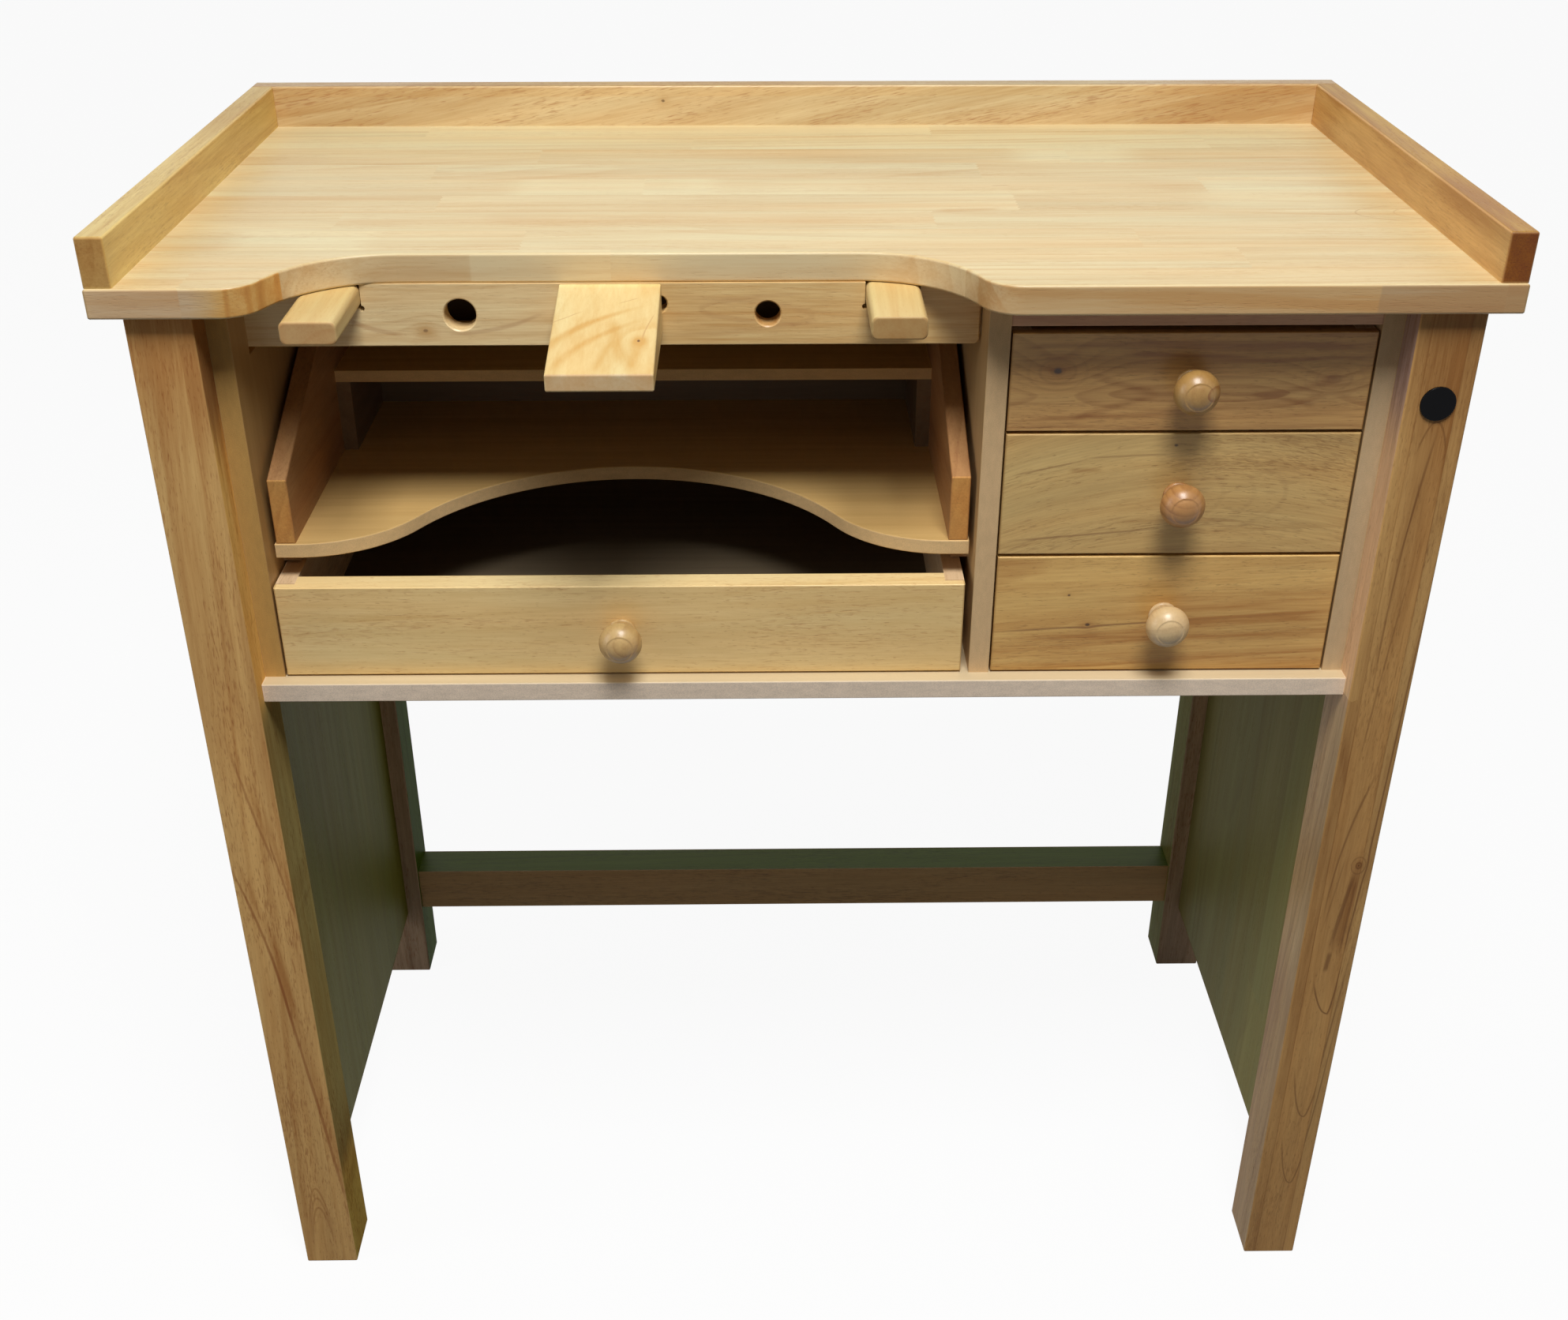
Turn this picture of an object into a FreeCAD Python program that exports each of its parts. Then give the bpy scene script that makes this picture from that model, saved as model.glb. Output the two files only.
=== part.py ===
"""Jewellers' work bench: four-legged frame, rimmed worktop with a working cut-out, a bench pin and
two armrests in the front rail, a pull-out tool tray, a catch drawer and a stack of small drawers.

Frame: X along the worktop (0 at its middle), Y from the front to the back, Z up from the floor.
All sizes are in millimetres.
"""
import FreeCAD
import Part
import math
import os
from FreeCAD import Vector

# ---------------------------------------------------------------- worktop
top_width = 1000.0
top_depth = 500.0
top_thickness = 22.0
top_underside = 951.5            # also the length of the legs
top_edge_radius = 2.0
cutout_left_margin = 4.0         # left case side to the start of the cut-out
cutout_right_overlap = 19.0      # past the partition's left face
cutout_depth = 80.0
cutout_sweep = 112.0             # width of each S-shaped sweep
cutout_front_radius = 30.0       # outer curve of the sweep, at the front edge

# ---------------------------------------------------------------- rims on the worktop
rim_thickness = 20.0
rim_height = 36.0
rim_front_setback = 1.5
rim_edge_radius = 2.0

# ---------------------------------------------------------------- legs, panels, stretcher
leg_width = 48.0
leg_depth = 52.0
leg_side_inset = 20.0            # worktop end to leg
leg_front_inset = 10.0           # worktop front edge to leg
leg_back_inset = 6.0
leg_edge_radius = 1.5
panel_thickness = 18.0
panel_recess = 17.0              # leg inner face to panel inner face
panel_floor_clearance = 85.0
panel_groove_depth = 8.0
stretcher_floor_clearance = 91.0
stretcher_height = 50.0
stretcher_thickness = 40.0
stretcher_setback = 5.0          # rear leg front face to stretcher
rail_height = 57.5
rail_thickness = 20.0
rail_setback = 12.0              # rear leg front face to rear rail
tenon_length = 22.0
tenon_shoulder = 7.0             # above and below each tenon
tenon_cheek = 6.0                # in front of and behind each tenon

# ---------------------------------------------------------------- drawer case
board = 16.0                     # sides, partition and bottom shelf
board_edge_radius = 1.0
case_setback = 36.5              # worktop front edge to case front
shelf_lip = 13.0                 # shelf front edge ahead of the case front
case_height = 308.5              # bottom shelf to worktop underside
small_bay_width = 269.0          # partition to right case side
back_panel_thickness = 6.0
top_rail_height = 19.5
top_rail_depth = 60.0

# ---------------------------------------------------------------- front rail of the cut-out
apron_height = 47.5
apron_thickness = 18.0
apron_inset = 78.0               # worktop front edge to the rail's face
apron_end_gap = 1.5              # to the partition
apron_housing = 6.0              # depth of the groove and tongue at its ends
apron_housing_drop = 6.0         # groove in the left side, below the rail
apron_tongue_inset = 5.0
apron_corner_radius = 4.0
apron_edge_radius = 1.0
mandrel_offset = 114.0           # mandrel holes, either side of the bay's middle
mandrel_drop = 23.5              # worktop underside to hole centres
large_mandrel_diameter = 24.0
medium_mandrel_diameter = 19.0
small_mandrel_diameter = 13.0
small_mandrel_offset = 33.0
small_mandrel_drop = 16.0
mandrel_chamfer = 1.0

# ---------------------------------------------------------------- bench pin and armrests
slip_fit = 0.4                   # clearance all round a part that pulls out
pin_width = 75.0
pin_reach = 121.0                # out from the rail's face
pin_tip_thickness = 12.5
pin_root_thickness = 37.5
pin_offset = -2.0                # from the middle of the bay
pin_tenon_width = 46.0
pin_tenon_thickness = 20.0
pin_tenon_drop = 9.0             # worktop underside to tenon
pin_tenon_length = 40.0
pin_edge_radius = 1.5
armrest_end_distance = 67.2      # each end of the bay to the middle of an armrest
armrest_width = 40.0
armrest_thickness = 17.5
left_armrest_reach = 82.0        # out from the rail's face
right_armrest_reach = 76.0
armrest_tail = 38.0              # behind the rail's face
armrest_edge_radius = 5.0
armrest_end_radius = 2.0
mortice_relief_diameter = 4.4

# ---------------------------------------------------------------- drawers
drawer_front_thickness = 20.0
drawer_side_thickness = 15.0
drawer_back_thickness = 12.0
drawer_back_drop = 4.0           # back board below the top of the sides
drawer_lap = 7.0                 # front left over the ends of the sides
drawer_back_gap = 29.5           # box to back panel
drawer_bottom_thickness = 4.0
drawer_bottom_rise = 8.0         # underside of the sides to the bottom panel
drawer_groove_depth = 6.0
drawer_floor_gap = 1.5           # under each front
drawer_run_clearance = 0.5       # under and over the sliding sides
drawer_front_radius = 1.0
drawer_stack_gap = 2.5           # between stacked fronts
drawer_side_gap = 1.5            # each end of a small front
bottom_front_height = 101.5
middle_front_height = 99.5
rail_drawer_gap = 5.5            # top rail to the top drawer
runner_height = 14.0
runner_width = 12.0
runner_setback = 30.0            # case front to the runners
runner_back_gap = 20.0           # runners to the back panel
catch_front_height = 78.0
catch_left_gap = 1.5
catch_right_gap = 6.5

# ---------------------------------------------------------------- tool tray
tray_side_gap = 3.5
tray_setback = 15.5              # case front to tray
tray_back_gap = 69.0             # tray to back panel
tray_base_thickness = 12.0
tray_wall_thickness = 15.0
tray_wall_height = 53.0          # at the front end
tray_wall_slope = 22.0           # degrees, the walls' tops rise to the back
tray_wall_rail_gap = 19.0        # level part of the walls' tops to the front rail's underside
tray_rise = 18.5                 # top of the catch drawer to the tray's underside
tray_scallop_depth = 147.0
tray_horn_width = 16.5           # straight edge at each end of the scallop
tray_scallop_end_radius = 99.0
tray_shelf_thickness = 10.0
tray_shelf_setback = 40.0        # deepest point of the scallop to the raised shelf
tray_support_height = 62.0
tray_support_thickness = 12.0
tray_edge_radius = 1.0
tray_runner_width = 14.0
tray_runner_gap = 2.0            # over the catch drawer
tray_runner_setback = 45.0       # case front to the tray's runners

# ---------------------------------------------------------------- knobs and badge
knob_diameter = 34.0
knob_projection = 34.0
knob_head_depth = 26.0
knob_collar_diameter = 23.0
knob_collar_thickness = 4.5
knob_neck_diameter = 14.0
knob_screw_diameter = 4.0
knob_screw_depth = 12.0          # into the knob
knob_screw_head_diameter = 8.0
knob_screw_head_height = 2.5
badge_diameter = 26.0
badge_thickness = 1.6
badge_drop = 70.0                # top of the leg to the badge centre
badge_edge_radius = 0.6

# ---------------------------------------------------------------- derived positions
front = -(top_depth - (pin_reach - apron_inset)) / 2     # worktop front edge; pin tip to back rim is centred
back = front + top_depth
top_z = top_underside + top_thickness
leg_outer_x = top_width / 2 - leg_side_inset
leg_inner_x = leg_outer_x - leg_width
leg_front_y = front + leg_front_inset
rear_leg_y = back - leg_back_inset - leg_depth
case_y = front + case_setback
case_back_y = rear_leg_y - back_panel_thickness
case_inner_x = leg_inner_x - board
shelf_top = top_underside - case_height
shelf_bottom = shelf_top - board
partition_x = case_inner_x - small_bay_width - board
bay_left, bay_right = -case_inner_x, partition_x
bay_middle = (bay_left + bay_right) / 2
cutout_x = (bay_left + cutout_left_margin, bay_right + cutout_right_overlap)
small_bay = (partition_x + board, case_inner_x)
apron_y = front + apron_inset
apron_z = top_underside - apron_height
rail_underside = top_underside - top_rail_height
tray_z = shelf_top + drawer_floor_gap + catch_front_height + tray_rise


def box(x, y, z):
    """Return a box between the (low, high) pairs x, y and z."""
    return Part.makeBox(x[1] - x[0], y[1] - y[0], z[1] - z[0], Vector(x[0], y[0], z[0]))


def span(start, length):
    """Return the (low, high) pair that starts at start."""
    return (start, start + length)


def about(middle, width):
    """Return the (low, high) pair centred on middle."""
    return (middle - width / 2, middle + width / 2)


def mirrored(pair, flip):
    """Return the (low, high) pair, reflected in X when flip is true."""
    return (-pair[1], -pair[0]) if flip else pair


def along_y(diameter, x, y, z):
    """Return a cylinder along Y between the pair y."""
    return Part.makeCylinder(diameter / 2, y[1] - y[0], Vector(x, y[0], z), Vector(0, 1, 0))


def lying_on(shape, axis, value):
    """Return the edges whose points all have the coordinate value on axis (0, 1 or 2)."""
    def level(edge):
        ends = [edge.valueAt(edge.FirstParameter), edge.valueAt(edge.LastParameter)]
        middle = edge.valueAt((edge.FirstParameter + edge.LastParameter) / 2)
        return all(abs(point[axis] - value) < 1e-6 for point in ends + [middle])
    return [edge for edge in shape.Edges if level(edge)]


def parallel_to(shape, axis):
    """Return the straight edges along axis (0, 1 or 2)."""
    direction = Vector(*[1.0 if i == axis else 0.0 for i in range(3)])
    return [edge for edge in shape.Edges if isinstance(edge.Curve, Part.Line)
            and edge.tangentAt(edge.FirstParameter).cross(direction).Length < 1e-9]


def rounded(shape, radius, edges):
    """Return the shape with the edges rounded."""
    return shape.makeFillet(radius, edges)


def imprinted(shape, others):
    """Return the solid with its faces divided where the others stand on it."""
    return shape.Solids[0].generalFuse([other.Solids[0] for other in others])[1][0][0]


def s_curve(start, depth, width, first_radius, direction):
    """Return two tangent arcs from start, rising by depth over width along X times direction.

    The first arc has first_radius and leaves along X; the second arrives along X.
    """
    total = (width ** 2 + depth ** 2) / (2 * depth)
    angle = 2 * math.atan2(depth, width)
    second_radius = total - first_radius

    def on_first(turn):
        return start + Vector(direction * first_radius * math.sin(turn),
                              first_radius * (1 - math.cos(turn)), 0)

    def on_second(turn):
        end = start + Vector(direction * width, depth, 0)
        return end + Vector(-direction * second_radius * math.sin(turn),
                            -second_radius * (1 - math.cos(turn)), 0)
    first = Part.Arc(on_first(0), on_first(angle / 2), on_first(angle)).toShape()
    second = Part.Arc(on_first(angle), on_second(angle / 2), on_second(0)).toShape()
    return [first, second], on_second(0)


def scooped_board(x, y, z, scoop, depth, sweep, first_radius):
    """Return a board whose front edge has a scoop over the pair scoop, S-shaped at each end."""
    left = Vector(scoop[0], y[0], z[0])
    right = Vector(scoop[1], y[0], z[0])
    left_arcs, left_inner = s_curve(left, depth, sweep, first_radius, 1)
    right_arcs, right_inner = s_curve(right, depth, sweep, first_radius, -1)
    corners = [Vector(x[1], y[0], z[0]), Vector(x[1], y[1], z[0]), Vector(x[0], y[1], z[0]),
               Vector(x[0], y[0], z[0])]
    flat = [Part.makeLine(left_inner, right_inner)] if right_inner.x - left_inner.x > 1e-6 else []
    outline = [right] + corners + [left]
    straight = [Part.makeLine(a, b) for a, b in zip(outline, outline[1:])]
    wire = Part.Wire(left_arcs + flat + right_arcs[::-1] + straight)
    return Part.Face(wire).extrude(Vector(0, 0, z[1] - z[0]))


parts = {}

# ---------------------------------------------------------------- worktop and rims
worktop = scooped_board(about(0, top_width), (front, back), (top_underside, top_z), cutout_x,
                        cutout_depth, cutout_sweep, cutout_front_radius)
parts["worktop"] = rounded(worktop, top_edge_radius,
                           lying_on(worktop, 2, top_z) + lying_on(worktop, 2, top_underside))

rim_z = span(top_z, rim_height)
rim_split_y = back - rim_thickness
back_rim = box(about(0, top_width), (rim_split_y, back), rim_z)
parts["back_rim"] = rounded(back_rim, rim_edge_radius, lying_on(back_rim, 2, rim_z[1]))
for side in ("left", "right"):
    rim_x = mirrored((top_width / 2 - rim_thickness, top_width / 2), side == "left")
    rim = box(rim_x, (front + rim_front_setback, rim_split_y), rim_z)
    front_edges = lying_on(rim, 1, front + rim_front_setback)
    parts[side + "_rim"] = rounded(rim, rim_edge_radius,
                                   [edge for edge in parallel_to(rim, 1) + front_edges
                                    if edge.CenterOfMass.z > top_z + 1])
parts["worktop"] = imprinted(parts["worktop"], [parts[side + "_rim"] for side in ("back", "left", "right")])

# ---------------------------------------------------------------- legs, panels, stretcher, rear rail
panel_outer_x = leg_inner_x + panel_recess + panel_thickness
panel_y = (leg_front_y + leg_depth - panel_groove_depth, rear_leg_y + panel_groove_depth)


def tenoned_rail(y, z):
    """Return a rail between the rear legs with a tenon at each end."""
    rail = box((-leg_inner_x, leg_inner_x), y, z)
    tenon = box(about(0, 2 * (leg_inner_x + tenon_length)), (y[0] + tenon_cheek, y[1] - tenon_cheek),
                (z[0] + tenon_shoulder, z[1] - tenon_shoulder))
    return rail.fuse(tenon).removeSplitter()


stretcher_y = span(rear_leg_y + stretcher_setback, stretcher_thickness)
parts["rear_stretcher"] = tenoned_rail(stretcher_y, span(stretcher_floor_clearance, stretcher_height))
parts["rear_rail"] = tenoned_rail(span(rear_leg_y + rail_setback, rail_thickness),
                                  (top_underside - rail_height, top_underside))

for side in ("left", "right"):
    flip = side == "left"
    panel_x = mirrored((panel_outer_x - panel_thickness, panel_outer_x), flip)
    panel = box(panel_x, panel_y, (panel_floor_clearance, top_underside))
    parts[side + "_side_panel"] = panel
    for end, leg_y in (("front", leg_front_y), ("rear", rear_leg_y)):
        leg = box(mirrored((leg_inner_x, leg_outer_x), flip), span(leg_y, leg_depth), (0, top_underside))
        leg = rounded(leg, leg_edge_radius, parallel_to(leg, 2) + lying_on(leg, 2, 0))
        leg = leg.cut(panel)
        if end == "rear":
            leg = leg.cut(parts["rear_stretcher"]).cut(parts["rear_rail"])
        parts[end + "_" + side + "_leg"] = leg

# ---------------------------------------------------------------- drawer case
case_z = (shelf_top, top_underside)
shelf_front_y = case_y - shelf_lip
shelf = box((-leg_inner_x, leg_inner_x), (shelf_front_y, rear_leg_y), (shelf_bottom, shelf_top))
parts["bottom_shelf"] = rounded(shelf, board_edge_radius, [edge for edge in parallel_to(shelf, 0)
                                                           if edge.CenterOfMass.y < shelf_front_y + 1])
parts["back_panel"] = box((-leg_inner_x, leg_inner_x), (case_back_y, rear_leg_y), case_z)
parts["left_case_side"] = box((-leg_inner_x, -case_inner_x), (case_y, case_back_y), case_z)
parts["right_case_side"] = box((case_inner_x, leg_inner_x), (case_y, case_back_y), case_z)
parts["partition"] = box(span(partition_x, board), (case_y, case_back_y), case_z)
parts["drawer_top_rail"] = box(small_bay, span(case_y, top_rail_depth), (rail_underside, top_underside))

# ---------------------------------------------------------------- front rail with mortices and mandrel holes
apron_y_span = span(apron_y, apron_thickness)
apron_right = partition_x - apron_end_gap
apron = box((bay_left, apron_right), apron_y_span, (apron_z, top_underside))
right_corner = [edge for edge in parallel_to(apron, 1)
                if edge.CenterOfMass.x > apron_right - 1 and edge.CenterOfMass.z < apron_z + 1]
apron = rounded(apron, apron_corner_radius, right_corner)
lower_front = [edge for edge in lying_on(apron, 1, apron_y) if edge.CenterOfMass.z < top_underside - 1
               and edge.CenterOfMass.x > bay_left + 1]
apron = rounded(apron, apron_edge_radius, lower_front)
left_housing = box((bay_left - apron_housing, bay_left), apron_y_span,
                   (apron_z - apron_housing_drop, top_underside))
left_end = box((bay_left - apron_housing, bay_left), apron_y_span, (apron_z, top_underside))
tongue = box((apron_right - 1, partition_x + apron_housing),
             (apron_y + apron_tongue_inset, apron_y + apron_thickness - apron_tongue_inset),
             (apron_z + apron_tongue_inset, top_underside - apron_tongue_inset))
apron = apron.fuse([left_end, tongue]).removeSplitter()
parts["left_case_side"] = parts["left_case_side"].cut(left_housing)
parts["partition"] = parts["partition"].cut(tongue)

armrest_x = {"left": bay_left + armrest_end_distance, "right": bay_right - armrest_end_distance}
armrest_z = (top_underside - slip_fit - armrest_thickness, top_underside - slip_fit)
mortice_floor = armrest_z[0] - slip_fit
for middle in armrest_x.values():
    mortice_x = about(middle, armrest_width + 2 * slip_fit)
    apron = apron.cut(box(mortice_x, apron_y_span, (mortice_floor, top_underside)))
    for corner_x in mortice_x:
        apron = apron.cut(along_y(mortice_relief_diameter, corner_x, apron_y_span, mortice_floor))

pin_x = bay_middle + pin_offset
pin_tenon_top = top_underside - pin_tenon_drop
apron = apron.cut(box(about(pin_x, pin_tenon_width + 2 * slip_fit), apron_y_span,
                      (pin_tenon_top - pin_tenon_thickness - slip_fit, pin_tenon_top + slip_fit)))
mandrels = [(large_mandrel_diameter, bay_middle - mandrel_offset, top_underside - mandrel_drop),
            (medium_mandrel_diameter, bay_middle + mandrel_offset, top_underside - mandrel_drop),
            (small_mandrel_diameter, bay_middle + small_mandrel_offset, top_underside - small_mandrel_drop)]
for diameter, x, z in mandrels:
    apron = apron.cut(along_y(diameter, x, apron_y_span, z))
    apron = apron.cut(Part.makeCone(diameter / 2 + mandrel_chamfer, diameter / 2, mandrel_chamfer,
                                    Vector(x, apron_y, z), Vector(0, 1, 0)))
parts["apron"] = apron

# ---------------------------------------------------------------- armrests and bench pin
reaches = {"left": left_armrest_reach, "right": right_armrest_reach}
for side, middle in armrest_x.items():
    bar_y = (apron_y - reaches[side], apron_y + armrest_tail)
    bar = box(about(middle, armrest_width), bar_y, armrest_z)
    bar = rounded(bar, armrest_edge_radius, parallel_to(bar, 1))
    bar = rounded(bar, armrest_end_radius, lying_on(bar, 1, bar_y[0]))
    parts[side + "_armrest"] = bar

pin_top = top_underside - slip_fit
pin_bottom = pin_top - pin_root_thickness
pin_shoulder_y = apron_y - slip_fit
pin_tip_y = apron_y - pin_reach
pin_profile = [Vector(pin_x - pin_width / 2, y, z) for y, z in
               ((pin_tip_y, pin_bottom), (pin_shoulder_y, pin_bottom), (pin_shoulder_y, pin_top),
                (pin_tip_y, pin_bottom + pin_tip_thickness))]
pin = Part.Face(Part.makePolygon(pin_profile + pin_profile[:1])).extrude(Vector(pin_width, 0, 0))
pin = rounded(pin, pin_edge_radius, [edge for edge in pin.Edges
                                     if edge.CenterOfMass.y < pin_shoulder_y - 1])
pin_tenon = box(about(pin_x, pin_tenon_width), (pin_shoulder_y, apron_y + pin_tenon_length),
                (pin_tenon_top - pin_tenon_thickness, pin_tenon_top))
parts["bench_pin"] = pin.fuse(pin_tenon).removeSplitter()

# ---------------------------------------------------------------- knobs
def knob(x, z):
    """Return a turned knob on the case front plane, with its collar, neck and head."""
    head_radius, collar_radius = knob_diameter / 2, knob_collar_diameter / 2
    neck_radius = knob_neck_diameter / 2
    head_middle = knob_projection - knob_head_depth / 2
    neck_at = (knob_collar_thickness + head_middle) / 2 - 1.0
    collar_mid = knob_collar_thickness / 2
    slope = 0.62                    # where the neck meets the back of the head, as a share of its radius
    back_of_head = head_middle - knob_head_depth / 2 * math.sqrt(1 - slope ** 2)

    def head(share):
        return head_middle + knob_head_depth / 2 * math.sqrt(max(0.0, 1 - share ** 2))

    def at(radius, out):
        return Vector(x + radius, case_y - out, z)
    collar = Part.Arc(at(collar_radius - 0.8, 0), at(collar_radius, collar_mid),
                      at(collar_radius - 2.2, knob_collar_thickness)).toShape()
    neck = Part.Arc(at(collar_radius - 2.2, knob_collar_thickness), at(neck_radius, neck_at),
                    at(slope * head_radius, back_of_head)).toShape()
    rim_curve = Part.BSplineCurve()
    sides = [at(slope * head_radius, back_of_head),
             at(0.88 * head_radius, head_middle - knob_head_depth / 2 * math.sqrt(1 - 0.88 ** 2)),
             at(head_radius, head_middle)]
    sides += [at(share * head_radius, head(share)) for share in (0.9, 0.66, 0.34)] + [at(0, head(0))]
    rim_curve.interpolate(sides)
    edges = [Part.makeLine(at(0, 0), at(collar_radius - 0.8, 0)), collar, neck, rim_curve.toShape(),
             Part.makeLine(at(0, head(0)), at(0, 0))]
    face = Part.Face(Part.Wire(edges))
    return face.revolve(Vector(x, case_y, z), Vector(0, 1, 0), 360)


def knob_screw(x, z):
    """Return the pan-head screw that holds a knob from inside the drawer front."""
    inner_y = case_y + drawer_front_thickness
    shank = along_y(knob_screw_diameter, x, (case_y - knob_screw_depth, inner_y), z)
    head = along_y(knob_screw_head_diameter, x, span(inner_y, knob_screw_head_height), z)
    head = rounded(head, 0.8, lying_on(head, 1, inner_y + knob_screw_head_height))
    return shank.fuse(head).removeSplitter()


# ---------------------------------------------------------------- drawers
def drawer(name, x, floor_z, front_height, side_height):
    """Add the boards, knob and screw of a drawer whose front stands on floor_z plus the gap."""
    front_z = span(floor_z + drawer_floor_gap, front_height)
    side_z = span(floor_z + drawer_run_clearance, side_height)
    box_y = (case_y + drawer_lap, case_back_y - drawer_back_gap)
    inner_x = (x[0] + drawer_side_thickness, x[1] - drawer_side_thickness)
    front_inner_y = case_y + drawer_front_thickness
    bottom_z = span(side_z[0] + drawer_bottom_rise, drawer_bottom_thickness)
    bottom = box((inner_x[0] - drawer_groove_depth, inner_x[1] + drawer_groove_depth),
                 (front_inner_y - drawer_groove_depth, box_y[1]), bottom_z)
    sides = {"left": box((x[0], inner_x[0]), box_y, side_z), "right": box((inner_x[1], x[1]), box_y, side_z)}
    face = box(x, (case_y, front_inner_y), front_z)
    face = rounded(face, drawer_front_radius, lying_on(face, 1, case_y))
    face = face.cut(bottom)
    for side, board_solid in sides.items():
        face = face.cut(board_solid)
        parts[name + "_" + side + "_side"] = board_solid.cut(bottom)
    middle = (sum(x) / 2, sum(front_z) / 2)
    screw = knob_screw(*middle)
    parts[name + "_front"] = face.cut(screw)
    parts[name + "_back"] = box(inner_x, (box_y[1] - drawer_back_thickness, box_y[1]),
                                (bottom_z[1], side_z[1] - drawer_back_drop))
    parts[name + "_bottom"] = bottom
    parts[name + "_knob"] = knob(*middle).cut(screw)
    parts[name + "_knob_screw"] = screw


small_x = (small_bay[0] + drawer_side_gap, small_bay[1] - drawer_side_gap)
middle_floor = shelf_top + bottom_front_height + drawer_stack_gap
top_floor = middle_floor + middle_front_height + drawer_stack_gap
top_front_height = rail_underside - rail_drawer_gap - top_floor - drawer_floor_gap
small_drawers = {"bottom_drawer": (shelf_top, bottom_front_height, middle_floor),
                 "middle_drawer": (middle_floor, middle_front_height, top_floor),
                 "top_drawer": (top_floor, top_front_height, rail_underside + runner_height)}
for name, (floor_z, front_height, next_floor) in small_drawers.items():
    side_top = min(next_floor - runner_height - drawer_run_clearance,
                   floor_z + drawer_floor_gap + front_height)
    drawer(name, small_x, floor_z, front_height, side_top - floor_z - drawer_run_clearance)

catch_x = (bay_left + catch_left_gap, bay_right - catch_right_gap)
catch_top = shelf_top + drawer_floor_gap + catch_front_height
drawer("catch_drawer", catch_x, shelf_top, catch_front_height, catch_top - shelf_top - drawer_run_clearance)

runner_y = (case_y + runner_setback, case_back_y - runner_back_gap)
runners = [box(x, runner_y, (floor_z - runner_height, floor_z))
           for floor_z in (middle_floor, top_floor)
           for x in (span(small_bay[0], runner_width), (small_bay[1] - runner_width, small_bay[1]))]
parts["drawer_runners"] = Part.makeCompound(runners)

# ---------------------------------------------------------------- tool tray
tray_x = (bay_left + tray_side_gap, bay_right - tray_side_gap)
tray_y = (case_y + tray_setback, case_back_y - tray_back_gap)
tray_scallop_x = (tray_x[0] + tray_horn_width, tray_x[1] - tray_horn_width)
tray_floor = tray_z + tray_base_thickness
tray_base = scooped_board(tray_x, tray_y, (tray_z, tray_floor), tray_scallop_x, tray_scallop_depth,
                          (tray_scallop_x[1] - tray_scallop_x[0]) / 2, tray_scallop_end_radius)
tray_front = [edge for edge in lying_on(tray_base, 2, tray_floor) + lying_on(tray_base, 2, tray_z)
              if edge.CenterOfMass.y < tray_y[0] + tray_scallop_depth + 1
              and not (abs(edge.tangentAt(edge.FirstParameter).x) < 1e-9)]
parts["tray_base"] = rounded(tray_base, tray_edge_radius, tray_front)
wall_y = (tray_y[0] + tray_edge_radius, tray_y[1])
wall_front_top = tray_floor + tray_wall_height
wall_top = apron_z - tray_wall_rail_gap
wall_knee_y = wall_y[0] + (wall_top - wall_front_top) / math.tan(math.radians(tray_wall_slope))
wall_profile = ((wall_y[0], tray_floor), (wall_y[1], tray_floor), (wall_y[1], wall_top),
                (wall_knee_y, wall_top), (wall_y[0], wall_front_top))
walls = {"left": span(tray_x[0] + tray_edge_radius, tray_wall_thickness),
         "right": (tray_x[1] - tray_edge_radius - tray_wall_thickness, tray_x[1] - tray_edge_radius)}
for side, wall_x in walls.items():
    corners = [Vector(wall_x[0], y, z) for y, z in wall_profile]
    wall = Part.Face(Part.makePolygon(corners + corners[:1])).extrude(Vector(tray_wall_thickness, 0, 0))
    top_edges = [edge for edge in wall.Edges if edge.CenterOfMass.z > wall_front_top - 1
                 and abs(edge.tangentAt(edge.FirstParameter).y) > 0.5]
    parts["tray_" + side + "_wall"] = rounded(wall, tray_edge_radius,
                                              top_edges + lying_on(wall, 1, wall_y[0]))
support_z = span(tray_floor, tray_support_height)
tray_inner = (walls["left"][1], walls["right"][0])
shelf_back_y = tray_y[1] - tray_wall_thickness
shelf_y = (tray_y[0] + tray_scallop_depth + tray_shelf_setback, shelf_back_y)
parts["tray_back"] = box(tray_inner, (shelf_back_y, tray_y[1]), support_z)
parts["tray_shelf"] = box(tray_inner, (shelf_y[0], tray_y[1]), span(support_z[1], tray_shelf_thickness))
parts["tray_left_support"] = box(span(tray_inner[0], tray_support_thickness), shelf_y, support_z)
parts["tray_right_support"] = box((tray_inner[1] - tray_support_thickness, tray_inner[1]), shelf_y,
                                  support_z)
tray_runner_y = (case_y + tray_runner_setback, case_back_y - runner_back_gap)
tray_runner_z = (catch_top + tray_runner_gap, tray_z - drawer_run_clearance)
tray_runners = [box(x, tray_runner_y, tray_runner_z)
                for x in (span(bay_left, tray_runner_width), (bay_right - tray_runner_width, bay_right))]
parts["tray_runners"] = Part.makeCompound(tray_runners)

# ---------------------------------------------------------------- badge
badge_y = (leg_front_y - badge_thickness, leg_front_y)
badge = along_y(badge_diameter, (leg_inner_x + leg_outer_x) / 2, badge_y, top_underside - badge_drop)
parts["badge"] = rounded(badge, badge_edge_radius, lying_on(badge, 1, badge_y[0]))

os.makedirs("parts", exist_ok=True)
for name, shape in parts.items():
    shape.exportStep("parts/" + name + ".step")
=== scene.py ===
"""Looks of the jewellers' bench: its timbers, boards, lacquers, turned knobs and a plain studio.

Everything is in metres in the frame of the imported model: X along the worktop, Y from the worker
towards the back, Z up from the floor.
"""

import logging
import math
from collections.abc import Mapping, Sequence
from dataclasses import dataclass, replace
from enum import Enum
from typing import Any

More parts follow.
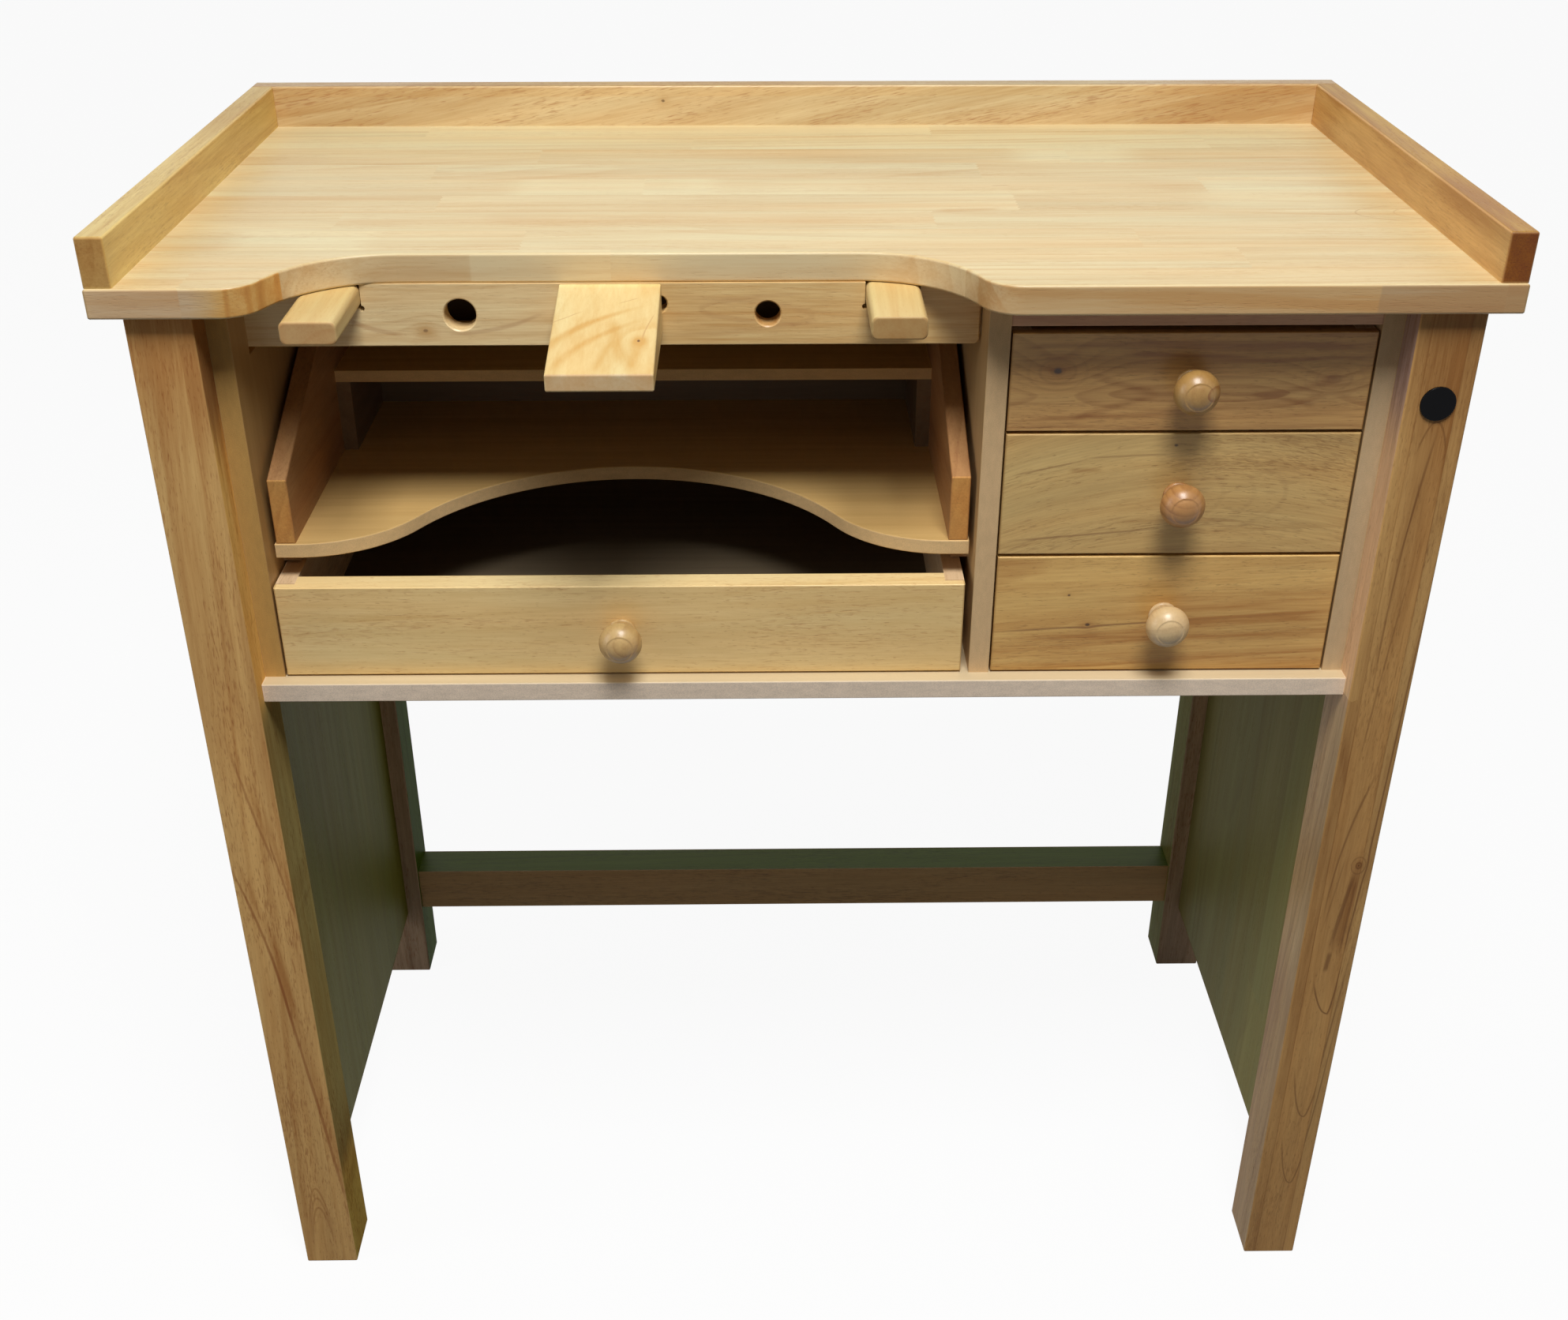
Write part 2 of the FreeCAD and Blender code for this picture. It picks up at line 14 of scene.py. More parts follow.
import bmesh
import bpy
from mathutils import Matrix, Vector


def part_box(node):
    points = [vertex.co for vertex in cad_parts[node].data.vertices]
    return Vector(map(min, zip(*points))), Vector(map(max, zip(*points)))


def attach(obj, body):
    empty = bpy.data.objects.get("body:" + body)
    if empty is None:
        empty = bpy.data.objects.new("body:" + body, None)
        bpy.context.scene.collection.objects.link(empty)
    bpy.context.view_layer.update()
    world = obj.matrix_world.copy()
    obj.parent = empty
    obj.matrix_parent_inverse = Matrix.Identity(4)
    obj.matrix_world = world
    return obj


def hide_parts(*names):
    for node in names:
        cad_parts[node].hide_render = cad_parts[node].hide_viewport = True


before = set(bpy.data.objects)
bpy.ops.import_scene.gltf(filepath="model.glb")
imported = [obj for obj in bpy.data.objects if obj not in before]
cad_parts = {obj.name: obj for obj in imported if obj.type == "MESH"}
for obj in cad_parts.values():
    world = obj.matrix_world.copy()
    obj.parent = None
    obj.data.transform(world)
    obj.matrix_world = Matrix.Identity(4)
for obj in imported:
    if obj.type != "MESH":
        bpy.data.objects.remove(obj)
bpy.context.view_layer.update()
LOG = logging.getLogger("jewellers_bench")
Span = tuple[float, float]
Triple = tuple[float, float, float]
WHOLE: Span = (-1.0, 1.0)


# ---------------------------------------------------------------- colours, sockets and node graphs
@dataclass(frozen=True)
class Colour:
    """A display colour, each channel from 0 to 255, or past 255 to brighten what it multiplies."""

    red: float
    green: float
    blue: float

    @property
    def linear(self) -> tuple[float, float, float, float]:
        """The colour as a socket holds it.

        Returns:
            Red, green, blue and alpha in linear light.
        """
        channels = []
        for channel in (self.red, self.green, self.blue):
            share = channel / 255.0
            channels.append(share / 12.92 if share <= 0.04045 else ((share + 0.055) / 1.055) ** 2.4)
        return (*channels, 1.0)

    def toned(self, factor: float) -> "Colour":
        """The colour with its display channels times factor."""
        return Colour(self.red * factor, self.green * factor, self.blue * factor)


WHITE = Colour(255, 255, 255)


class Wire:
    """One output of a node; sums written with it add Math nodes."""

    def __init__(self, graph: "Graph", source: bpy.types.Node, index: int | str = 0) -> None:
        """Wrap an output.

        Args:
            graph: the graph that holds it.
            source: its node.
            index: which of the node's outputs it is.
        """
        self.graph = graph
        self.source = source
        self.socket = source.outputs[index]

    def output(self, index: int | str) -> "Wire":
        """Another output of the same node."""
        return Wire(self.graph, self.source, index)

    def maths(self, operation: str, *values: Any) -> "Wire":
        """A Math node over the values.

        Args:
            operation: the Math node's operation.
            values: numbers or wires, in the order of its sockets.

        Returns:
            The node's output.
        """
        return self.graph.node("ShaderNodeMath", {"operation": operation}, dict(enumerate(values)))

    def __add__(self, other: Any) -> "Wire":
        """Sum."""
        return self.maths("ADD", self, other)

    def __radd__(self, other: Any) -> "Wire":
        """Sum, reflected."""
        return self.maths("ADD", other, self)

    def __sub__(self, other: Any) -> "Wire":
        """Difference."""
        return self.maths("SUBTRACT", self, other)

    def __rsub__(self, other: Any) -> "Wire":
        """Difference, reflected."""
        return self.maths("SUBTRACT", other, self)

    def __mul__(self, other: Any) -> "Wire":
        """Product."""
        return self.maths("MULTIPLY", self, other)

    def __rmul__(self, other: Any) -> "Wire":
        """Product, reflected."""
        return self.maths("MULTIPLY", other, self)

    def __truediv__(self, other: Any) -> "Wire":
        """Quotient."""
        return self.maths("DIVIDE", self, other)

    def __rtruediv__(self, other: Any) -> "Wire":
        """Quotient, reflected."""
        return self.maths("DIVIDE", other, self)

    def __pow__(self, other: Any) -> "Wire":
        """Power."""
        return self.maths("POWER", self, other)

    def __abs__(self) -> "Wire":
        """Size without its sign."""
        return self.maths("ABSOLUTE", self)

    def sign(self) -> "Wire":
        """-1, 0 or 1."""
        return self.maths("SIGN", self)

    def floor(self) -> "Wire":
        """Whole number below."""
        return self.maths("FLOOR", self)

    def fraction(self) -> "Wire":
        """Part after the decimal point."""
        return self.maths("FRACT", self)

    def root(self) -> "Wire":
        """Square root."""
        return self.maths("SQRT", self)

    def bell(self) -> "Wire":
        """1 at 0, falling away on both sides."""
        return self.maths("EXPONENT", self * self * -1.0)

    def above(self, level: float) -> "Wire":
        """1 above the level, 0 below it."""
        return self.maths("GREATER_THAN", self, level)

    def least(self, other: Any) -> "Wire":
        """Smaller of the two."""
        return self.maths("MINIMUM", self, other)

    def most(self, other: Any) -> "Wire":
        """Larger of the two."""
        return self.maths("MAXIMUM", self, other)

    def rise(self, low: float, high: float, smooth: bool = True) -> "Wire":
        """A ramp from 0 at low to 1 at high.

        Args:
            low: value at which it leaves 0.
            high: value at which it reaches 1; below low, the ramp falls.
            smooth: ease in and out.

        Returns:
            The ramp's value.
        """
        settings = {"interpolation_type": "SMOOTHSTEP" if smooth else "LINEAR", "clamp": True}
        ends = (low, high, 0.0, 1.0) if low <= high else (high, low, 1.0, 0.0)
        return self.graph.node("ShaderNodeMapRange", settings, dict(enumerate((self, *ends))))


class Graph:
    """The node graph of one material or world, emptied first."""

    def __init__(self, owner: bpy.types.Material | bpy.types.World) -> None:
        """Empty the owner's nodes.

        Args:
            owner: the material or world.
        """
        owner.use_nodes = True
        self.owner = owner
        self.tree = owner.node_tree
        self.tree.nodes.clear()

    def node(self, kind: str, settings: Mapping[str, Any] | None = None,
             sockets: Mapping[int | str, Any] | None = None, output: int | str = 0) -> Wire:
        """Add a node.

        Args:
            kind: the node's type.
            settings: its properties, set before its sockets.
            sockets: numbers, colours or wires by socket.
            output: the output to return.

        Returns:
            A wire from that output.
        """
        made = self.tree.nodes.new(kind)
        for name, value in (settings or {}).items():
            setattr(made, name, value)
        for name, value in (sockets or {}).items():
            if isinstance(value, Wire):
                self.tree.links.new(value.socket, made.inputs[name])
            else:
                made.inputs[name].default_value = value
        return Wire(self, made, output)

    def finish(self, surface: Wire, output: str = "ShaderNodeOutputMaterial") -> Any:
        """Lead the surface to the graph's output.

        Args:
            surface: the shader that is shown.
            output: the output node's type.

        Returns:
            The material or world.
        """
        end = self.tree.nodes.new(output)
        self.tree.links.new(surface.socket, end.inputs["Surface"])
        return self.owner

    def cover(self, piece: bpy.types.Object, height: Wire, relief: Span,
              sockets: Mapping[str, Any]) -> None:
        """Finish the material as one bumped surface and give it to the piece.

        Args:
            piece: what wears it.
            height: what the bump follows.
            relief: the bump's strength and its height in metres.
            sockets: the surface's other sockets.
        """
        bump = self.node("ShaderNodeBump", None, {"Strength": relief[0], "Distance": relief[1],
                                                  "Height": height})
        clothe(piece, self.finish(
            self.node("ShaderNodeBsdfPrincipled", None, {"Normal": bump, **sockets})))

    def point(self) -> tuple[Wire, Wire, Wire]:
        """The three object coordinates."""
        return self.split(self.node("ShaderNodeTexCoord", output="Object"))

    def split(self, vector: Wire) -> tuple[Wire, Wire, Wire]:
        """The three parts of a vector."""
        parts = self.node("ShaderNodeSeparateXYZ", sockets={0: vector})
        return parts, parts.output(1), parts.output(2)

    def vector(self, *values: Any) -> Wire:
        """A vector of three numbers or wires."""
        return self.node("ShaderNodeCombineXYZ", sockets=dict(enumerate(values)))

    def noise(self, place: Wire, weave: "Weave") -> Wire:
        """Noise stretched along each axis.

        Args:
            place: where it is read.
            weave: its scale, octaves and their weight.

        Returns:
            A value from about -0.5 to 0.5.
        """
        return self.noise_of(place, *weave.value)

    def noise_of(self, place: Wire, scale: Triple, detail: float, roughness: float = 0.5) -> Wire:
        """Noise of any scale, centred on 0.

        Args:
            place: where it is read.
            scale: features per metre along, across and through.
            detail: octaves.
            roughness: weight of each further octave.

        Returns:
            A value from about -0.5 to 0.5.
        """
        stretched = self.node("ShaderNodeMapping", {"vector_type": "POINT"},
                              {"Vector": place, "Scale": Vector(scale)})
        made = self.node("ShaderNodeTexNoise", {"noise_dimensions": "3D"},
                         {"Vector": stretched, "Scale": 1.0, "Detail": detail,
                          "Roughness": roughness}, "Fac")
        return made - 0.5

    def chance(self, *values: Any) -> tuple[Wire, Wire, Wire]:
        """Three random numbers from 0 to 1 that belong to the whole numbers given."""
        return self.split(self.node("ShaderNodeTexWhiteNoise", {"noise_dimensions": "3D"},
                                    {"Vector": self.vector(*values)}, "Color"))

    def mix(self, first: Any, second: Any, share: Any, blend: str = "MIX") -> Wire:
        """Blend two colours.

        Args:
            first: colour at share 0.
            second: colour at share 1, or what multiplies the first.
            share: from 0 to 1.
            blend: the Mix node's blend type.

        Returns:
            The blended colour.
        """
        return self.node("ShaderNodeMix", {"data_type": "RGBA", "clamp_factor": True,
                                           "blend_type": blend},
                         {0: share, 6: as_colour(first), 7: as_colour(second)}, 2)


def as_colour(value: Any) -> Any:
    """A Colour as a socket holds it; anything else is returned as it is."""
    return value.linear if isinstance(value, Colour) else value


def limits(piece: bpy.types.Object) -> tuple[Vector, Vector]:
    """Lowest and highest corner of the piece's own mesh."""
    axes = list(zip(*piece.bound_box))
    return Vector([min(axis) for axis in axes]), Vector([max(axis) for axis in axes])


def clothe(piece: bpy.types.Object, material: bpy.types.Material) -> None:
    """Give every slot of the piece the material.

    Args:
        piece: what wears it.
        material: the finished material.
    """
    if not piece.material_slots:
        piece.data.materials.append(material)
    for held in piece.material_slots:
        held.material = material


def edge_share(point: Sequence[Wire], low: Vector, high: Vector, width: float) -> Wire:
    """How near a point is to an edge of a box.

    Args:
        point: the three coordinates.
        low: the box's lowest corner.
        high: its highest corner.
        width: distance at which the share has fallen to 0.

    Returns:
        1 on an edge, 0 further in than width.
    """
    depth = [(p - a).least(b - p) for p, a, b in zip(point, low, high)]
    pairs = [depth[0].most(depth[1]), depth[1].most(depth[2]), depth[2].most(depth[0])]
    return pairs[0].least(pairs[1]).least(pairs[2]).rise(width, 0.0)


# ---------------------------------------------------------------- how a board is cut and marked
class Weave(Enum):
    """Noises: features per metre along, across and through, octaves and each one's weight."""

    SWAY = ((2.5, 7.0, 7.0), 1.0)
    STREAK = ((3.5, 95.0, 95.0), 4.0, 0.62)
    BAND = ((1.3, 32.0, 32.0), 2.0)
    FIBRE = ((26.0, 560.0, 560.0), 2.0, 0.6)
    CLOUD = ((3.5, 11.0, 11.0), 2.0)
    DENSITY = ((6.0, 40.0, 40.0), 2.0)
    HUE = ((2.2, 26.0, 26.0), 2.0)
    RING_WANDER = ((1.6, 9.0, 9.0), 1.0)
    RING_RIPPLE = ((11.0, 60.0, 60.0), 2.0)
    RING_SPREAD = ((0.9, 18.0, 18.0), 1.0)
    RING_VIGOUR = ((2.6, 22.0, 22.0), 1.0)
    VENEER = ((5.0, 140.0, 140.0), 4.0, 0.6)
    VENEER_CLOUD = ((3.0, 12.0, 12.0), 2.0)
    SPECK = ((1500.0, 1500.0, 1500.0), 2.0)
    CLUMP = ((90.0, 260.0, 260.0), 3.0)
    SMEAR = ((60.0, 60.0, 60.0), 3.0)
    SCRATCH = ((1200.0, 160.0, 400.0), 2.0)
    FLOOR_TONE = ((0.8, 0.8, 0.8), 2.0)


class Lay(Enum):
    """Which coordinates run along the fibres, across the board's face and through it."""

    TOP = (0, 1, 2)
    FRONT = (0, 2, 1)
    SIDE = (1, 2, 0)
    ARM = (1, 0, 2)
    POST = (2, 0, 1)
    WALL = (2, 1, 0)


@dataclass
class Grain:
    """Noises read along the fibres of one board, each about -0.5 to 0.5."""

    streak: Wire
    band: Wire
    fibre: Wire
    cloud: Wire
    dash: Wire
    pore: Wire
    density: Wire
    hue: Wire


@dataclass(frozen=True)
class Knot:
    """A branch stub: its place and radius, how far it lifts the rings, and the loops round it."""

    along: float
    across: float
    radius: float
    pull: float = 0.012
    reach: float = 0.022
    dark: float = 0.9
    halo: float = 0.35
    part: float = 0.004
    loops: float = 0.0
    gap: float = 0.0038
    shortening: float = 0.7
    fray: float = 0.0016
    rim: Span = (1.3, 0.6)
    line: Span = (0.24, 0.04)
    unevenness: Span = (0.002, 0.001)

    def distance(self, along: Wire, across: Wire) -> Wire:
        """Distance from the knot, shortened along the fibres."""
        run, side = (along - self.along) * self.shortening, across - self.across
        return (run * run + side * side + 1e-8).root()

    def near(self, along: Wire, across: Wire, reach: float) -> Wire:
        """1 at the knot, falling away over the reach."""
        return (self.distance(along, across) / reach).bell()

    def parting(self, along: Wire, across: Wire) -> Wire:
        """How far the fibres move aside round the knot."""
        lean = (across - self.across) / (self.distance(along, across) + self.radius)
        return lean * (self.near(along, across, self.reach) * self.part)

    def core(self, along: Wire, across: Wire, grain: Grain) -> Wire:
        """The dark stub: 1 inside it, with a frayed edge."""
        distance = self.distance(along, across) + grain.fibre * self.fray
        return distance.rise(self.radius * self.rim[0], self.radius * self.rim[1])

    def rounds(self, along: Wire, across: Wire, grain: Grain) -> Wire:
        """Strength of the lines that close round the knot and fade outwards.

        Args:
            along: the point's place along the fibres.
            across: its place across the face.
            grain: the noises that make the lines uneven.

        Returns:
            From 0 between the lines to their darkness on one.
        """
        broad, fine = self.unevenness
        distance = self.distance(along, across) + grain.band * broad + grain.streak * fine
        line = abs((distance / self.gap).fraction() - 0.5).rise(*self.line)
        return line * distance.rise(self.reach, self.radius) * self.loops


@dataclass(frozen=True)
class Streak:
    """A line along the fibres that climbs by slope and bows; a soft one only shades the wood."""

    along: Span
    across: float
    width: float
    slope: float = 0.0
    dark: float = 0.5
    bow: float = 0.0
    soft: bool = False
    sway: float = 0.004
    crispness: float = 0.25
    taper: float = 0.25

    def ribbon(self, along: Wire, across: Wire, grain: Grain) -> Wire:
        """Strength of the streak.

        Args:
            along: the point's place along the fibres.
            across: its place across the face.
            grain: the noises that fray and bend the streak.

        Returns:
            From 0 off the streak to its darkness on it.
        """
        start, end = self.along
        run = along - start
        centre = across - self.across - run * (run * self.bow + self.slope) + grain.band * self.sway
        core = 0.0 if self.soft else self.width * self.crispness
        body = (abs(centre) + grain.streak * self.width).rise(self.width, core)
        fade = (end - start) * self.taper
        return body * along.rise(start, start + fade) * along.rise(end, end - fade) * self.dark


@dataclass(frozen=True)
class Flame:
    """Arched growth lines: their tip, opening, gap, reach and how much steeper one side is."""

    along: float
    across: float
    opening: float
    gap: float
    reach: float
    dark: float = 0.5
    half_width: float = 0.025
    line: float = 0.0009
    skew: float = 0.0
    sway: float = 0.003
    unevenness: float = 0.012
    softness: Span = (1.3, 0.3)
    faintest: float = 0.5
    root: Span = (-0.45, -0.3)
    tail: float = 0.5
    flank: float = 0.7

    def arches(self, along: Wire, across: Wire, grain: Grain) -> Wire:
        """Strength of the arched lines.

        Args:
            along: the point's place along the fibres.
            across: its place across the face.
            grain: the noises that make the arches uneven.

        Returns:
            From 0 between the lines to their darkness on one.
        """
        side = across - self.across + grain.band * self.sway
        sense = math.copysign(1.0, self.reach)
        opening = (side.sign() * self.skew + 1.0) * self.opening
        run = ((along - self.along) * sense - side * side * opening
               + grain.cloud * min(self.gap, self.unevenness))
        count = run / self.gap + 0.5
        steep = side * opening * 2.0
        distance = abs(count.fraction() - 0.5) * self.gap / (steep * steep + 1.0).root()
        line = (distance + grain.fibre * self.line).rise(
            self.line * self.softness[0], self.line * self.softness[1])
        luck = along.graph.chance(count.floor(), self.along, 9.0)[0]
        weight = luck * (1.0 - self.faintest) + self.faintest
        fade = (run.rise(self.root[0] * self.gap, self.root[1] * self.gap)
                * run.rise(abs(self.reach), abs(self.reach) * self.tail))
        return (line * weight * fade * self.dark
                * abs(side).rise(self.half_width, self.half_width * self.flank))


PATCH_FRAY = 1.6
PATCH_EDGE = 0.0006


@dataclass(frozen=True)
class Patch:
    """A stretch of darker or lighter wood, positive for darker, that fades out along the fibres;
    some stand for painted shade and light.
    """

    along: Span
    across: Span
    shade: float
    flank_only: bool = False
    fade: float = 0.0005


@dataclass(frozen=True)
class Tint:
    """A stretch that takes a colour cast: everywhere, on one face or on flanks; some casts are the
    wood's colour, others painted shade, light and reflection.
    """

    along: Span
    across: Span
    colour: Colour
    flank_only: bool = False
    fade: float = 0.0005
    side: int = 0


def spot(patch: Patch | Tint, along: Wire, across: Wire, grain: Grain) -> Wire:
    """Where a patch or tint shows.

    Args:
        patch: the stretch.
        along: the point's place along the fibres.
        across: its place across the face.
        grain: the noises that fray its ends where it fades.

    Returns:
        1 inside the stretch and 0 outside it.
    """
    run = along + grain.streak * (patch.fade * PATCH_FRAY)
    soft, crisp = patch.fade, PATCH_EDGE
    (begin, end), (low, high) = patch.along, patch.across
    return (run.rise(begin - soft, begin + soft) * run.rise(end + soft, end - soft)
            * across.rise(low - crisp, low + crisp) * across.rise(high + crisp, high - crisp))


@dataclass(frozen=True)
class Staves:
    """Strips glued edge to edge: of one width, or parted at the seams where these are given."""

    width: float = 0.050
    length: float = 3.0
    first: float = 0.0
    seams: tuple[float, ...] = ()
    shade: float = 0.30
    finger: float = 0.004
    finger_pitch: float = 0.0075
    glue: float = 0.12
    glue_line: Span = (0.0007, 0.0002)

    def pick(self, along: Wire, across: Wire, seed: float) -> tuple[tuple[Wire, Wire, Wire], Wire]:
        """Find the strip that holds a point.

        Args:
            along: the point's place along the fibres.
            across: its place across the face.
            seed: the board's seed.

        Returns:
            Three random numbers of the strip, and 1 on a glue line.
        """
        if self.seams:
            row = across.above(self.seams[0])
            near = abs(across - self.seams[0])
            for seam in self.seams[1:]:
                row = row + across.above(seam)
                near = near.least(abs(across - seam))
        else:
            strip = (across - self.first) / self.width
            row = strip.floor()
            near = (0.5 - abs(strip.fraction() - 0.5)) * self.width
        graph = across.graph
        begin = graph.chance(row, seed, 3.0)[0]
        comb = abs((across * (1 / self.finger_pitch)).fraction() - 0.5) * self.finger
        column = (along + comb) / self.length + begin * 7.0
        return graph.chance(row, column.floor(), seed + 11.0), near.rise(*self.glue_line)


@dataclass(frozen=True)
class Cut:
    """Where in the log a board comes from, and what shows in it."""

    lay: Lay
    seed: float
    pith: Span = (0.02, -0.11)
    lean: Span = (0.02, 0.05)
    wander: float = 0.02
    wave: float = 0.010
    slant: float = 0.0
    bow: float = 0.0
    shade: float = 0.0
    knots: tuple[Knot, ...] = ()
    streaks: tuple[Streak, ...] = ()
    flames: tuple[Flame, ...] = ()
    patches: tuple[Patch, ...] = ()
    pitting: tuple[Patch, ...] = ()
    tints: tuple[Tint, ...] = ()
    staves: Staves | None = None


@dataclass
class Site:
    """A point of a board: its coordinates, its place on the swayed fibres and the noises there."""

    along: Wire
    across: Wire
    through: Wire
    swayed: Wire
    bent: Wire
    flank: Wire
    luck: Sequence[Any]
    grain: Grain


# ---------------------------------------------------------------- finishes
@dataclass(frozen=True)
class Timber:
    """Lacquered timber whose rings, fibres and pores run through the whole piece."""

    name: str
    pale: Colour
    deep: Colour
    pore: Colour
    flank: Colour = WHITE
    ends: Colour = Colour(205, 190, 170)
    blush: Colour = Colour(262, 251, 240)
    ring_width: float = 0.010
    rings: float = 0.45
    streaks: float = 0.8
    bands: float = 0.7
    fibres: float = 0.7
    clouds: float = 0.7
    dashes: float = 0.30
    dash_length: float = 0.015
    pores: float = 0.25
    pore_length: float = 0.006
    # Edge lightening, partly wear and partly a painted highlight on the eased arrises: its strength
    # and width.
    edge: float = 0.22
    edge_width: float = 0.0018
    roughness: float = 0.42
    coat: float = 0.18
    coat_roughness: float = 0.22
    specular: float = 0.35
    flank_coat: float = 0.2
    flank_figure: float = 0.0
    base_shade: float = 0.45
    hue: float = 2.4
    darkest: Span = (1.4, 0.7)
    dash_shown: Span = (0.05, 0.30)
    pore_shown: Span = (0.10, 0.28)
    density: Span = (0.6, 0.3)
    ring_ripple: float = 0.0030
    ring_spread: float = 1.6
    ring_weight: Span = (1.8, 0.12)
    ring_vigour: Span = (2.2, 0.8)
    ring_slope: Triple = (3.0, 10.0, 1.7)
    pith_drift: Triple = (0.16, 0.12, 0.10)
    fibre_height: float = 0.35
    streak_height: float = 0.5
    pore_depth: float = 0.8
    dash_depth: float = 0.6
    streak_dullness: float = 0.12
    pore_dullness: float = 0.12
    end_dullness: float = 0.15
    edge_wear_and_sheen_tone: float = 1.06
    face_skin: Span = (0.0005, 0.0013)
    end_skin: Span = (0.0016, 0.0005)
    relief: Span = (0.55, 0.00012)
    luck_shift: Triple = (5.1, 3.3, 4.7)
    seed_shift: Triple = (1.37, 0.71, 2.13)

    def dress(self, piece: bpy.types.Object, cut: Cut) -> None:
        """Give the piece this timber.

        Args:
            piece: what is dressed.
            cut: how it is cut from the log.
        """
        graph = Graph(bpy.data.materials.new(f"{piece.name}_{self.name}"))
        low, high = limits(piece)
        point = graph.point()
        start, stop = ([corner[i] for i in cut.lay.value] for corner in (low, high))
        middle = [(a + b) / 2 for a, b in zip(start, stop)]
        along, across, through = (point[i] for i in cut.lay.value)
        luck: Sequence[Any] = (0.5, 0.5, 0.5)
        glue: Any = 0.0
        if cut.staves:
            luck, glue = cut.staves.pick(along, across, cut.seed)
        sway = graph.noise(graph.vector(along + cut.seed, across + luck[2], through), Weave.SWAY)
        swayed = bent = across + sway * cut.wave
        for knot in cut.knots:
            bent = bent - knot.parting(along, across)
        run = along - middle[0]
        shift = [luck[i] * self.luck_shift[i] + cut.seed * self.seed_shift[i] for i in range(3)]
        place = graph.vector(along + shift[0],
                             bent + run * (run * cut.bow + cut.slant) + shift[1],
                             through + shift[2])
        flank = (through - start[2]).least(stop[2] - through).rise(*self.face_skin)
        site = Site(along, across, through, swayed, bent, flank, luck, self.grain(place))
        late = self.late_wood(site, cut, place, middle)
        share = self.shade(site, cut, late, glue)
        dashed, pitted = self.pitting(site, cut)
        colour = graph.mix(self.pale, self.deep, share)
        colour = graph.mix(colour, self.blush, site.grain.hue * self.hue + 0.5, "MULTIPLY")
        late_end, strength = self.darkest
        colour = graph.mix(colour, self.pore, (share - 1.0).rise(0.0, late_end, False) * strength)
        colour = graph.mix(colour, self.pore, dashed * self.dashes)
        colour = graph.mix(colour, self.pore, pitted * self.pores)
        colour = self.marked(colour, site, cut)
        colour = graph.mix(colour, self.flank, flank, "MULTIPLY")
        for tint in cut.tints:
            where = spot(tint, along, across, site.grain)
            if tint.side:
                where = where * ((through - middle[2]) * tint.side).rise(0.0, 0.001)
            colour = graph.mix(colour, tint.colour, where * flank if tint.flank_only else where,
                               "MULTIPLY")
        end = (along - start[0]).least(stop[0] - along).rise(*self.end_skin)
        colour = graph.mix(colour, self.ends, end, "MULTIPLY")
        # Edges lighten towards a paler tone: partly wear, partly a painted highlight on the eased
        # arrises.
        edge_wear_and_sheen = edge_share(point, low, high, self.edge_width)
        colour = graph.mix(colour, self.pale.toned(self.edge_wear_and_sheen_tone), edge_wear_and_sheen * self.edge)
        grain = site.grain
        height = (grain.fibre * self.fibre_height - pitted * self.pore_depth
                  - dashed * self.dash_depth + grain.streak * self.streak_height)
        graph.cover(piece, height, self.relief, {
            "Base Color": colour,
            "Roughness": (grain.streak * self.streak_dullness + pitted * self.pore_dullness
                          + end * self.end_dullness + self.roughness),
            "Specular IOR Level": self.specular,
            "Coat Weight": (1.0 - flank * (1.0 - self.flank_coat)) * self.coat,
            "Coat Roughness": self.coat_roughness})

    def grain(self, place: Wire) -> Grain:
        """Read the noises that draw streaks, fibres, dashes and pores.

        Args:
            place: where they are read.

        Returns:
            The noises.
        """
        graph = place.graph
        streak, band, fibre, cloud, density, hue = (graph.noise(place, weave) for weave in (
            Weave.STREAK, Weave.BAND, Weave.FIBRE, Weave.CLOUD, Weave.DENSITY, Weave.HUE))
        dash = graph.noise_of(place, (1 / self.dash_length, 640.0, 640.0), 1.0)
        pore = graph.noise_of(place, (1 / self.pore_length, 950.0, 950.0), 1.0)
        return Grain(streak, band, fibre, cloud, dash, pore, density, hue)

    def late_wood(self, site: Site, cut: Cut, place: Wire, middle: Sequence[float]) -> Wire:
        """Late wood of the growth rings.

        Args:
            site: the point.
            cut: how the board is cut.
            place: where noise is read.
            middle: the board's middle along, across and through.

        Returns:
            The share of late wood, from 0 to about 1.
        """
        graph, luck = place.graph, site.luck
        run = site.along - middle[0]
        side = site.swayed - (middle[1] + cut.pith[0]) - run * cut.lean[0]
        deep = site.through - (middle[2] + cut.pith[1]) - run * cut.lean[1]
        if cut.staves:
            aside, askew, apart = self.pith_drift
            side = side + (luck[0] - 0.5) * aside
            deep = deep + (luck[2] - 0.5) * apart + run * (luck[1] - 0.5) * askew
        radius = (side * side + deep * deep).root()
        radius = radius + graph.noise(place, Weave.RING_WANDER) * cut.wander
        radius = radius + graph.noise(place, Weave.RING_RIPPLE) * self.ring_ripple
        for knot in cut.knots:
            radius = radius + knot.near(site.along, site.across, knot.reach) * knot.pull
        spread = graph.noise(place, Weave.RING_SPREAD) * self.ring_spread
        ring = radius / self.ring_width + spread
        phase = ring.fraction()
        contrast, least = self.ring_weight
        weight = graph.chance(ring.floor(), cut.seed, 5.0)[0] ** contrast + least
        swing, mean = self.ring_vigour
        vigour = (graph.noise(place, Weave.RING_VIGOUR) * swing + mean).rise(0.0, 1.2, False)
        rise, drop, gain = self.ring_slope
        return phase ** rise * (1.0 - phase ** drop) * gain * weight * vigour

